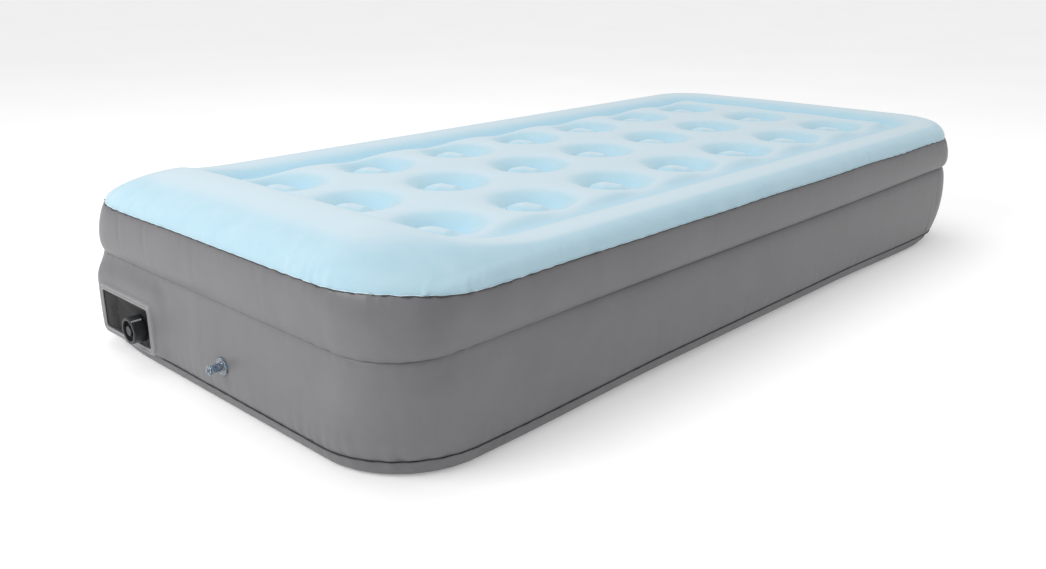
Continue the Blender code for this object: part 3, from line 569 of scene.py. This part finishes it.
def bed_top():
    """One skin: a grid over the quilted field, and rings from its edge out to the seam."""
    xs = field_lines(COLUMN_X, FIELD_HEAD, FIELD_FOOT)
    ys = field_lines(ROW_Y, -FIELD_Y, FIELD_Y)
    gx, gy = np.meshgrid(xs, ys)
    grid = np.arange(gx.size).reshape(gx.shape)
    corners = [grid[:-1, :-1], grid[:-1, 1:], grid[1:, 1:], grid[1:, :-1]]
    faces = [np.stack([c.ravel() for c in corners], 1)]

    edge = np.concatenate([grid[0, :-1], grid[:-1, -1], grid[-1, :0:-1], grid[:0:-1, 0]])
    fx = (xs - xs[0]) / (xs[-1] - xs[0])
    fy = (ys - ys[0]) / (ys[-1] - ys[0])
    fractions = np.concatenate([fx[:-1], fy[:-1], 1 - fx[:0:-1], 1 - fy[:0:-1]])
    sides = np.repeat(np.arange(4), [len(xs) - 1, len(ys) - 1, len(xs) - 1, len(ys) - 1])
    inner = np.stack([gx.ravel()[edge], gy.ravel()[edge]], 1)
    rings = border_rings(inner, (sides, fractions))
    loop = edge
    for i in range(len(rings)):
        numbers = gx.size + i * len(edge) + np.arange(len(edge))
        faces.append(loop_faces(loop, numbers))
        loop = numbers

    field = np.column_stack([gx.ravel(), gy.ravel(), top_height(gx.ravel(), gy.ravel())])
    points = np.concatenate([field] + rings)
    obj = piece("bed_top", points, np.concatenate(faces), FLOCK)
    tint_top(obj, points)
    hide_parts("top_sheet")


def coil_welds():
    """The narrow pressed welds that show through the flock round each dome, open towards the -Y side."""
    steps, half_width, height, clearance = 36, 0.0009, 0.00045, 0.0001
    radius = WELD_RADIUS - 0.62 * FLANK
    section = ((-1.0, 0.0), (-0.4, height), (0.4, height), (1.0, 0.0))
    points, faces = [], []
    for cx, cy, _, _ in DIMPLES:
        start = len(points)
        for k, a in enumerate(np.linspace(WELD_START, WELD_END, steps)):
            taper = min(1.0, 0.25 + 6 * min(k, steps - 1 - k) / steps)
            for offset, lift in section:
                r = radius + offset * half_width * taper
                x, y = cx + r * math.cos(a), cy + r * math.sin(a)
                z = top_height(np.array([x]), np.array([y]))[0]
                points.append((x, y, z + lift * taper + clearance))
        for k in range(steps - 1):
            for j in range(3):
                a = start + 4 * k + j
                faces.append((a, a + 4, a + 5, a + 1))
    piece("coil_welds", points, faces, WELD)


# ---- the grey wall --------------------------------------------------------------------------------
WALL_STEPS = side_steps((270, 150))
CORNER_REACH = 0.15
# what lies nearer the head than this is on the head's own wall
HEAD_WALL_X = -0.9
# heights of the film's ripples: at the floor seam, at the top seam, all over, and at the waist
PUCKER = 0.0019
SEAM_RIPPLE = 0.0010
FILM_RIPPLE = 0.00016
BAND_GATHER = 0.0007
WALL_GATHER = 0.0006
HEAD_CREASE_FILL = 0.55
# sections of the two tiers: (share of the way down, how far outside the seam's outline)
UPPER_BAND = [(0.000, 0.0000), (0.06, 0.0024), (0.18, 0.0046), (0.36, 0.0062), (0.56, 0.0062),
              (0.76, 0.0046), (0.90, 0.0012), (0.975, -0.0036), (1.000, -0.0076)]
LOWER_WALL = [(0.000, -0.0078), (0.012, -0.0058), (0.05, -0.0030), (0.14, 0.0002), (0.32, 0.0032),
              (0.55, 0.0050), (0.76, 0.0046), (0.91, 0.0022), (0.975, 0.0004), (1.000, -0.0006)]


def soft_folds(along, height, folds):
    """Shallow folds in the film: each is (place round the seam, height, lean, length, width, depth)."""
    total = np.zeros_like(height)
    for place, level, lean, length, width, depth in folds:
        du = (along - place + PERIMETER / 2) % PERIMETER - PERIMETER / 2
        dv = height - level
        near = (np.abs(du) < 3 * length) & (np.abs(dv) < 3 * length)
        u, v = du[near], dv[near]
        line = u * math.cos(lean) + v * math.sin(lean)
        off = -u * math.sin(lean) + v * math.cos(lean)
        total[near] += depth * np.exp(-(line / length) ** 2 - (off / width) ** 2)
    return total


def fold_list(count, levels, seed):
    """Random short folds gathered round the four corners."""
    rng = np.random.default_rng(seed)
    corners = np.concatenate([[0], np.cumsum(SIDE_LENGTHS)[:-1]])
    folds = []
    for k in range(count):
        place = corners[k % 4] + rng.normal(0, 0.13)
        level = rng.uniform(*levels)
        lean = rng.uniform(0.9, 2.2)
        folds.append((place % PERIMETER, level, lean, rng.uniform(0.014, 0.042), rng.uniform(0.0022, 0.0055),
                      rng.uniform(-0.0015, 0.0010)))
    return folds


def floor_pucker(along, near_corner):
    """How far the film ripples out beside the floor seam, most of all round the corners."""
    return PUCKER * ripple(along, 0.034, 41) * (0.30 + 1.3 * near_corner)


def band_rings(along, near_corner):
    """Rings of the upper tier, from the top seam down to the waist."""
    rings = []
    for down, outset in smooth_curve(UPPER_BAND, 26):
        xy, normal = outline(WALL_STEPS, outset, SEAM_RADII + (WAIST_RADII - SEAM_RADII) * down)
        from_head = away_from_head(xy[:, 0])
        top = seam_height(xy[:, 0]) + seam_wobble(along)
        z = top + (waist_height(xy[:, 0]) - top) * down
        pinch = np.exp(-down / 0.16) * (0.35 + near_corner) * (down > 0)
        gather = math.exp(-((1 - down) / 0.12)) * (down < 1)
        shift = SEAM_RIPPLE * ripple(along, 0.024, 31) * pinch
        shift += FILM_RIPPLE * ripple(along, 0.017, 33) * math.sin(math.pi * down) * from_head
        shift += BAND_GATHER * ripple(along, 0.038, 35) * gather * (0.3 + near_corner)
        shift += HEAD_CREASE_FILL * max(-outset, 0) * (1 - from_head)
        rings.append(np.column_stack([xy + normal * shift[:, None], z]))
    return rings


def lower_rings(along, corner, near_corner):
    """Rings of the lower tier, from just under the waist down to the floor seam."""
    floor_seam = floor_line(along, corner)[0]
    pucker = floor_pucker(along, near_corner)
    rings = []
    for down, outset in smooth_curve(LOWER_WALL, 34)[1:]:
        xy, normal = outline(WALL_STEPS, outset, WAIST_RADII + (FLOOR_RADII - WAIST_RADII) * down ** 2.2)
        waist = waist_height(xy[:, 0])
        z = waist + (floor_seam - waist) * down
        at_seam = float(smoothstep((1 - down) / 0.05))
        gather = math.exp(-down / 0.07)
        shift = pucker * math.exp(-(1 - down) / 0.13) * at_seam
        shift += WALL_GATHER * ripple(along, 0.030, 43) * gather * (0.3 + near_corner)
        shift += HEAD_CREASE_FILL * max(-outset, 0) * (1 - away_from_head(xy[:, 0])) * (down < 0.5)
        rings.append(np.column_stack([xy + normal * shift[:, None], z]))
    return rings


def wall_rings():
    along, corner = way_round(WALL_STEPS)
    near_corner = np.exp(-(corner / CORNER_REACH) ** 2)
    rings = np.array(band_rings(along, near_corner) + lower_rings(along, corner, near_corner))
    folds = fold_list(96, (0.05, 0.26), 51)
    spread = np.broadcast_to(along, rings.shape[:2])
    amount = soft_folds(spread.ravel(), rings[:, :, 2].ravel(), folds).reshape(rings.shape[:2])
    _, normal = outline(WALL_STEPS, 0.0, WAIST_RADII)
    rings[:, :, :2] += normal[None] * amount[:, :, None]
    pull_to_collar(rings)
    lap_seam(rings)
    return rings


def pull_to_collar(rings):
    """The head's film rises to meet the pump's collar."""
    reach, depth, head_only = 0.052, 0.0022, -0.93
    y, z = rings[:, :, 1] - PUMP.y, rings[:, :, 2] - PUMP.z
    dy = np.maximum(np.abs(y) - PANEL_Y - COLLAR_MARGIN, 0)
    dz = np.maximum(np.abs(z) - PANEL_Z - COLLAR_MARGIN, 0)
    share = smoothstep(1 - np.hypot(dy, dz) / reach)
    share = share * smoothstep((rings[:, :, 2] - FLOOR_SEAM_Z) / 0.010) * (rings[:, :, 0] < head_only)
    rings[:, :, 0] += (PUMP.x + depth - rings[:, :, 0]) * share


def lap_seam(rings):
    """A faint upright lap where the wall's strip closes on itself, in the middle of the head."""
    y = rings[:, :, 1]
    step = 0.00055 * smoothstep((y - 0.022) / 0.004) * smoothstep((0.075 - y) / 0.05)
    rings[:, :, 0] -= np.where(rings[:, :, 0] < HEAD_WALL_X, step, 0.0)


def bed_wall():
    """Both tiers in one skin, with openings behind the pump's collar and the valve's stem."""
    points, faces = lofted(wall_rings())
    x, y, z = points[faces].mean(1).T
    under_collar = COLLAR_MARGIN * 0.45
    over_pump = (np.abs(y - PUMP.y) < PANEL_Y + under_collar) & (np.abs(z - PUMP.z) < PANEL_Z + under_collar)
    over_valve = np.hypot(y - VALVE.y, z - VALVE.z) < VALVE_STEM * 0.9
    opening = (over_pump | over_valve) & (x < HEAD_WALL_X)
    wall = piece("bed_wall", points, faces[~opening], PVC)
    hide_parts("side_wall")


def base_sheet():
    """The sheet under the bed: a turned-up edge at the floor seam, then flat on the floor."""
    along, corner = way_round(WALL_STEPS)
    near_corner = np.exp(-(corner / CORNER_REACH) ** 2)
    seam, tuck, straight = floor_line(along, corner)
    pucker = floor_pucker(along, near_corner)
    xy, normal = outline(WALL_STEPS, -0.0006, FLOOR_RADII)
    rings = []
    count = 16
    for i in range(count + 1):
        angle = math.pi / 2 * i / count
        inward = tuck * (1 - math.cos(angle) ** straight)
        z = seam * (1 - math.sin(angle) ** straight)
        fade = math.exp(-3.0 * i / count) * float(smoothstep(i / 3))
        shift = pucker * fade - inward
        rings.append(np.column_stack([xy + normal * shift[:, None], np.maximum(z, 0.0)]))
    flat = rings[-1]
    for share in (0.97, 0.90, 0.75, 0.5, 0.25, 0.05):
        rings.append(flat * np.array([share, share, 1.0]))
    points, faces = lofted(np.array(rings))
    last = len(points) - len(along) + np.arange(len(along))
    sheet = piece("base_sheet", points, list(map(tuple, faces)) + [tuple(last[::-1])], BASE_VINYL)
    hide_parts("bottom_sheet")


def seam_strip(name, look, level, width, thickness, seed, ragged, top=True):
    """A thin flange of welded film that stands out all round a seam, its edge cut a little unevenly."""
    root = -0.004
    steps = side_steps((900, 450))
    along, corner = way_round(steps)
    rng = np.random.default_rng(seed)
    nicks = rng.normal(0, 1, len(along))
    nicks = np.convolve(np.concatenate([nicks[-2:], nicks, nicks[:2]]), [0.2] * 5, "valid")
    near_corner = np.exp(-(corner / 0.14) ** 2)
    edge = width * (1 + ragged * nicks * (0.6 + near_corner) + 0.15 * ripple(along, 0.05, seed + 1))
    droop = 0.0003 * ripple(along, 0.03, seed + 2) * (0.5 + near_corner)
    xy, normal = outline(steps, 0.0, SEAM_RADII if top else FLOOR_RADII)
    base = seam_height(xy[:, 0]) + seam_wobble(along) if top else floor_line(along, corner)[0]
    half = thickness / 2
    rings = []
    for reach, fall, up in ((root, 0.0, half), (edge, droop, half), (edge, droop, -half), (root, 0.0, -half)):
        flat = xy + normal * (np.zeros(len(along)) + reach)[:, None]
        rings.append(np.column_stack([flat, base + level + up + fall]))
    points, faces = lofted(np.array(rings))
    piece(name, points, faces, look, sharp=40)


# ---- the pump -------------------------------------------------------------------------------------
def turned(name, profile, centre, look, body, segments):
    """A solid of revolution about an X axis, from an open outline of (x, radius) that starts and ends
    on the axis, or a closed one that never reaches it."""
    on_axis = profile[0][1] == 0.0
    body_part = profile[1:-1] if on_axis else profile
    points, faces = [], []
    for x, radius in body_part:
        for k in range(segments):
            a = 2 * math.pi * k / segments
            points.append((centre[0] + x, centre[1] + radius * math.cos(a), centre[2] + radius * math.sin(a)))
    rows = len(body_part)
    for i in range(rows - 1 if on_axis else rows):
        for k in range(segments):
            n = (k + 1) % segments
            j = (i + 1) % rows
            faces.append((i * segments + k, i * segments + n, j * segments + n, j * segments + k))
    if on_axis:
        for end, row, flip in ((profile[0], 0, True), (profile[-1], rows - 1, False)):
            points.append((centre[0] + end[0], centre[1], centre[2]))
            hub = len(points) - 1
            for k in range(segments):
                n = (k + 1) % segments
                ring = (row * segments + k, row * segments + n)
                faces.append((hub, ring[1], ring[0]) if flip else (hub, ring[0], ring[1]))
    obj = piece(name, points, faces, look, body)
    face_out(obj, 32)
    return obj


def face_out(obj, sharp):
    """Turns the faces outwards and keeps edges steeper than `sharp` degrees crisp."""
    bm = bmesh.new()
    bm.from_mesh(obj.data)
    bmesh.ops.recalc_face_normals(bm, faces=bm.faces)
    bm.to_mesh(obj.data)
    bm.free()
    obj.data.shade_smooth()
    obj.data.set_sharp_from_angle(angle=math.radians(sharp))


def refined(node, look, bevel, name, segments=2):
    """A copy of a CAD solid with its triangles merged into flat faces and its edges rounded."""
    source = nodes[node]
    mesh = source.data.copy()
    bm = bmesh.new()
    bm.from_mesh(mesh)
    bmesh.ops.remove_doubles(bm, verts=bm.verts, dist=0.00001)
    bmesh.ops.dissolve_limit(bm, angle_limit=math.radians(1.0), verts=bm.verts, edges=bm.edges)
    bm.to_mesh(mesh)
    bm.free()
    mesh.materials.clear()
    mesh.materials.append(look)
    obj = bpy.data.objects.new(name, mesh)
    bpy.context.scene.collection.objects.link(obj)
    soften = obj.modifiers.new("edges", "BEVEL")
    soften.width = bevel
    soften.segments = segments
    soften.limit_method = "ANGLE"
    soften.angle_limit = math.radians(35)
    soften.harden_normals = True
    mesh.shade_smooth()
    mesh.set_sharp_from_angle(angle=math.radians(50))
    body = [b for b, members in frame["record"]["behaviour"]["bodies"].items() if node in members][0]
    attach(obj, body)
    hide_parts(node)


def rounded_rectangle(half_y, half_z, radius, steps=10):
    """(y, z) points round a rectangle with arcs at its corners."""
    points = []
    for quarter, (sy, sz) in enumerate(((1, 1), (-1, 1), (-1, -1), (1, -1))):
        for k in range(steps + 1):
            a = math.pi / 2 * (quarter + k / steps)
            points.append((sy * (half_y - radius) + radius * math.cos(a),
                           sz * (half_z - radius) + radius * math.sin(a)))
    return points


def pump_collar():
    """The soft moulded frame welded into the wall: two rounded beads with a valley between them."""
    section = [(0.0006, 0.0100), (0.0006, 0.0004), (0.0012, -0.0012), (0.0026, -0.0020), (0.0044, -0.0016),
               (0.0058, -0.0002), (0.0070, -0.0004), (0.0086, -0.0018), (0.0102, -0.0018), (0.0116, -0.0006),
               (0.0126, 0.0016), (0.0134, 0.0042), (0.0134, 0.0170)]
    rings = []
    for margin, depth in smooth_curve(section, 44):
        corner = 0.0055 + margin * 0.75
        loop = rounded_rectangle(PANEL_Y + margin, PANEL_Z + margin, corner)
        rings.append([(PUMP.x + depth, PUMP.y + y, PUMP.z + z) for y, z in loop])
    rings.append([(PUMP.x + 0.0170, p[1], p[2]) for p in rings[0]])
    points, faces = lofted(np.array(rings))
    collar = piece("pump_collar", points, faces, COLLAR)
    face_out(collar, 60)
    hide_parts("pump_frame")


def selector():
    """The dial: a cup-shaped knob, the hub inside it and the pointer along its rim."""
    centre = PUMP + Vector((0, DIAL_Y, DIAL_Z))
    base, front = -DIAL_STANDOFF, -DIAL_HEIGHT
    rim = DIAL_RADIUS
    profile = [(base, SPINDLE_RADIUS + GAP), (base, rim - 0.0006), (base - 0.0002, rim - 0.0001),
               (base - 0.0008, rim), (-0.0120, rim - 0.0001), (front + 0.0024, rim - 0.0002),
               (front + 0.0014, rim - 0.0004), (front + 0.0005, rim - 0.0010),
               (front + 0.0001, rim - 0.0019), (front, rim - 0.0030), (front, 0.0202),
               (front + 0.0002, 0.0196), (front + 0.0008, 0.0192), (front + 0.0030, 0.0190),
               (front + 0.0082, 0.0184), (front + 0.0088, 0.0180), (front + 0.0090, 0.0174),
               (front + 0.0090, 0.0104), (front + 0.0090, SPINDLE_RADIUS + GAP)]
    knob = turned("selector_knob", profile, centre, DIAL_BLACK, "selector", 96)
    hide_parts("dial")
    cap = [(front + 0.0087, 0.0), (front + 0.0087, 0.0100), (front + 0.0040, 0.0098),
           (front + 0.0018, 0.0096), (front + 0.0009, 0.0092), (front + 0.0005, 0.0084),
           (front + 0.0005, 0.0070), (front + 0.0009, 0.0040), (front + 0.0011, 0.0)]
    hub = turned("selector_hub", cap, centre, DIAL_BLACK, "selector", 64)
    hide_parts("dial_cap")
    # the pointer rib, painted pale grey as a painted highlight along the knob's top
    refined("dial_pointer", POINTER_HIGHLIGHT, 0.0003, "selector_pointer_highlight", 3)


def door_ribs():
    """Three low grip ribs on the cord compartment's door, which swing with it."""
    pitch, foot, crown, height, sink = 0.0080, 0.0011, 0.0006, 0.0006, -0.00005
    low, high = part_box("cord_door")
    section = ((foot, sink), (crown, height), (-crown, height), (-foot, sink))
    points, faces = [], []
    for row in range(3):
        z = (low.z + high.z) / 2 + pitch * (row - 1)
        y0, y1 = low.y + 0.017, low.y + 0.033
        start = len(points)
        for y, taper in ((y0, 0.3), (y0 + 0.0012, 1.0), (y1 - 0.0012, 1.0), (y1, 0.3)):
            for half, lift in section:
                points.append((low.x - lift * taper, y, z + half))
        for i in range(3):
            for j in range(3):
                a = start + 4 * i + j
                faces.append((a, a + 1, a + 5, a + 4))
        faces.append((start, start + 1, start + 2, start + 3))
        faces.append((start + 15, start + 14, start + 13, start + 12))
    ribs = piece("door_ribs", points, faces, PUMP_BLACK, "door")
    face_out(ribs, 40)


# ---- the air valve --------------------------------------------------------------------------------
def valve_stem():
    """A clear flange on the wall with a short stem that ends in a rolled lip."""
    front, stem = -VALVE_LENGTH, VALVE_STEM
    section = [(-0.0001, stem + 0.0076), (-0.0009, stem + 0.0079), (-0.0018, stem + 0.0074),
               (-0.0021, stem + 0.0060), (-0.0019, stem + 0.0036), (-0.0022, stem + 0.0016),
               (-0.0034, stem + 0.0004), (-0.0050, stem), (-0.0110, stem - 0.0002),
               (front + 0.0026, stem), (front + 0.0018, stem + 0.0005), (front + 0.0009, stem + 0.0009),
               (front + 0.0002, stem + 0.0007), (front, stem), (front, VALVE_BORE),
               (0.0120, VALVE_BORE), (0.0120, stem), (-0.0001, stem)]
    obj = turned("valve_stem", section, VALVE, CLEAR, "bed", 64)
    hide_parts("valve_body")


def valve_stopper():
    """The push-in plug: a tapered shank, a flat rim and a small grip."""
    end, stem = -VALVE_LENGTH - GAP, VALVE_STEM
    section = [(end + 0.0130, 0.0), (end + 0.0130, 0.0040), (end + 0.0124, 0.0048), (end + 0.0105, 0.0056),
               (end + 0.0060, 0.0054), (end + 0.0002, 0.0056), (end, stem + 0.0008),
               (end - 0.0006, stem + 0.0012), (end - 0.0024, stem + 0.0012), (end - 0.0032, stem + 0.0006),
               (end - 0.0036, stem - 0.0008), (end - 0.0038, 0.0044), (end - 0.0048, 0.0033),
               (end - 0.0058, 0.0031), (end - 0.0068, 0.0034), (end - 0.0075, 0.0028),
               (end - 0.0077, 0.0018), (end - 0.0077, 0.0)]
    obj = turned("valve_stopper", section, VALVE, CLEAR, "plug", 64)
    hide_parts("valve_plug")


def stopper_tether():
    """The soft strip that joins the plug's rim to the flange, left on no body with its shape baked in place.
    """
    steps, half_width, half_depth, bow, sag_depth = 24, 0.0016, 0.0005, 0.0050, 0.0035
    start = Vector((-0.0026, VALVE_STEM + 0.0055, 0.0))
    finish = Vector((-VALVE_LENGTH - 0.0018, VALVE_STEM + 0.0026, 0.0))
    points, faces = [], []
    for k in range(steps + 1):
        t = k / steps
        sag = math.sin(math.pi * t)
        spot = VALVE + start.lerp(finish, t) + Vector((0, bow * sag, -sag_depth * sag))
        lean = math.pi * (t - 0.5) * 0.35
        out = Vector((math.sin(lean), math.cos(lean), 0.0))
        for dy, dz in ((1, -1), (1, 1), (-1, 1), (-1, -1)):
            points.append(spot + out * half_depth * dy + Vector((0, 0, half_width * dz)))
        if k:
            a = 4 * (k - 1)
            faces += [(a + j, a + (j + 1) % 4, a + 4 + (j + 1) % 4, a + 4 + j) for j in range(4)]
    last = 4 * steps
    faces += [(0, 1, 2, 3), (last + 3, last + 2, last + 1, last)]
    tether = piece("stopper_tether", points, faces, CLEAR, None)
    face_out(tether, 60)
    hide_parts("plug_tether")
    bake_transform(tether)


# ---- carried-over CAD pieces ----------------------------------------------------------------------
def dress_frame():
    """Gives each CAD piece that stays in the scene its own look, by the longest name that fits."""
    looks = {"middle_sheet": INNER_VINYL, "border_strap": INNER_VINYL, "coil_beam": INNER_VINYL,
             "lower_beam": INNER_VINYL, "pump_housing": INNER_PLASTIC, "fan_shroud": INNER_PLASTIC,
             "motor_bracket": INNER_PLASTIC, "impeller": INNER_PLASTIC, "intake_shutter": INNER_PLASTIC,
             "selector_switch": INNER_PLASTIC, "dial_spindle": INNER_PLASTIC, "motor_shaft": STEEL,
             "door_hinge_pin": STEEL, "panel_screw": SCREW, "cord_grommet": RUBBER, "outlet_flap": RUBBER,
             "motor": MOTOR_CAN}
    for name, obj in nodes.items():
        matches = [stem for stem in looks if name.startswith(stem)]
        if matches:
            look = looks[max(matches, key=len)]
            for place in obj.material_slots:
                place.material = look


# ---- stage ----------------------------------------------------------------------------------------
FLOOR_HALF = 30.0
FLOOR_GLOW = 0.24
HORIZON_GLOW = 0.45
SKY_GLOW = 0.75
CAMERA_PLACE = (-1.7014, -1.4080, 0.7127)
CAMERA_DEGREES = (71.49, 0.0, -46.33)
LENS = 33.6


def area_light(name, spot, target, size, power):
    data = bpy.data.lights.new(name, "AREA")
    data.shape = "RECTANGLE"
    data.size, data.size_y = size
    data.energy = power
    obj = bpy.data.objects.new(name, data)
    obj.location = spot
    obj.rotation_euler = (Vector(target) - Vector(spot)).to_track_quat("-Z", "Y").to_euler()
    bpy.context.scene.collection.objects.link(obj)


def studio_floor():
    look = surface("studio_floor", [(0.90, 0.90, 0.90), (0.93, 0.93, 0.93)], 0.9, 0.8,
                   [(0.004, 0.00005)], specular=0.1)
    shader = look.node_tree.nodes["Principled BSDF"]
    shader.inputs["Emission Color"].default_value = (1.0, 1.0, 1.0, 1.0)
    shader.inputs["Emission Strength"].default_value = FLOOR_GLOW
    half = FLOOR_HALF
    mesh = bpy.data.meshes.new("floor")
    mesh.from_pydata([(-half, -half, 0), (half, -half, 0), (half, half, 0), (-half, half, 0)],
                     [], [(0, 1, 2, 3)])
    mesh.materials.append(look)
    floor = bpy.data.objects.new("floor", mesh)
    bpy.context.scene.collection.objects.link(floor)
    floor.location.z = -0.0005


def studio_world():
    """Soft white light that grows from the horizon upwards."""
    world = bpy.data.worlds.new("studio")
    world.use_nodes = True
    tree = world.node_tree
    way = tree.nodes.new("ShaderNodeSeparateXYZ")
    tree.links.new(tree.nodes.new("ShaderNodeTexCoord").outputs["Generated"], way.inputs["Vector"])
    height = tree.nodes.new("ShaderNodeMapRange")
    height.inputs["From Min"].default_value = 0.0
    height.inputs["From Max"].default_value = 0.8
    height.inputs["To Min"].default_value = HORIZON_GLOW
    height.inputs["To Max"].default_value = SKY_GLOW
    tree.links.new(way.outputs["Z"], height.inputs["Value"])
    tree.links.new(height.outputs["Result"], tree.nodes["Background"].inputs["Strength"])
    tree.nodes["Background"].inputs["Color"].default_value = (1.0, 1.0, 1.0, 1.0)
    bpy.context.scene.world = world


def studio_camera():
    data = bpy.data.cameras.new("camera")
    data.lens = LENS
    data.sensor_width = 36.0
    data.clip_end = 100.0
    camera = bpy.data.objects.new("camera", data)
    camera.location = CAMERA_PLACE
    camera.rotation_euler = [math.radians(angle) for angle in CAMERA_DEGREES]
    bpy.context.scene.collection.objects.link(camera)
    bpy.context.scene.camera = camera


def stage():
    bpy.context.scene.view_settings.view_transform = "Standard"
    studio_floor()
    studio_world()
    area_light("key", spot=(-3.3, 0.55, 2.3), target=(-0.6, 0.0, 0.15), size=(2.0, 1.4), power=53)
    area_light("overhead", spot=(0.2, 0.6, 3.2), target=(0.0, 0.0, 0.2), size=(3.0, 2.0), power=25)
    studio_camera()


def main():
    stage()
    dress_frame()
    bed_top()
    coil_welds()
    bed_wall()
    base_sheet()
    seam_strip("top_seam_flock", SEAM_PALE, 0.0004, 0.0012, 0.0007, 61, 0.35)
    # painted shade: near-black strips on the flanges' edges stand in for the shade line under the top seam
    # and at the floor seam
    seam_strip("top_seam_film_and_shade", SEAM_EDGE_AND_SHADE, -0.0006, 0.0022, 0.0014, 65, 0.60)
    seam_strip("floor_seam", SEAM_EDGE_AND_SHADE, 0.0, 0.0016, 0.0012, 71, 0.20, top=False)
    pump_collar()
    refined("pump_panel", PUMP_BLACK, 0.0005, "pump_face")
    refined("cord_door", PUMP_BLACK, 0.0003, "compartment_door")
    door_ribs()
    selector()
    valve_stem()
    valve_stopper()
    stopper_tether()


main()
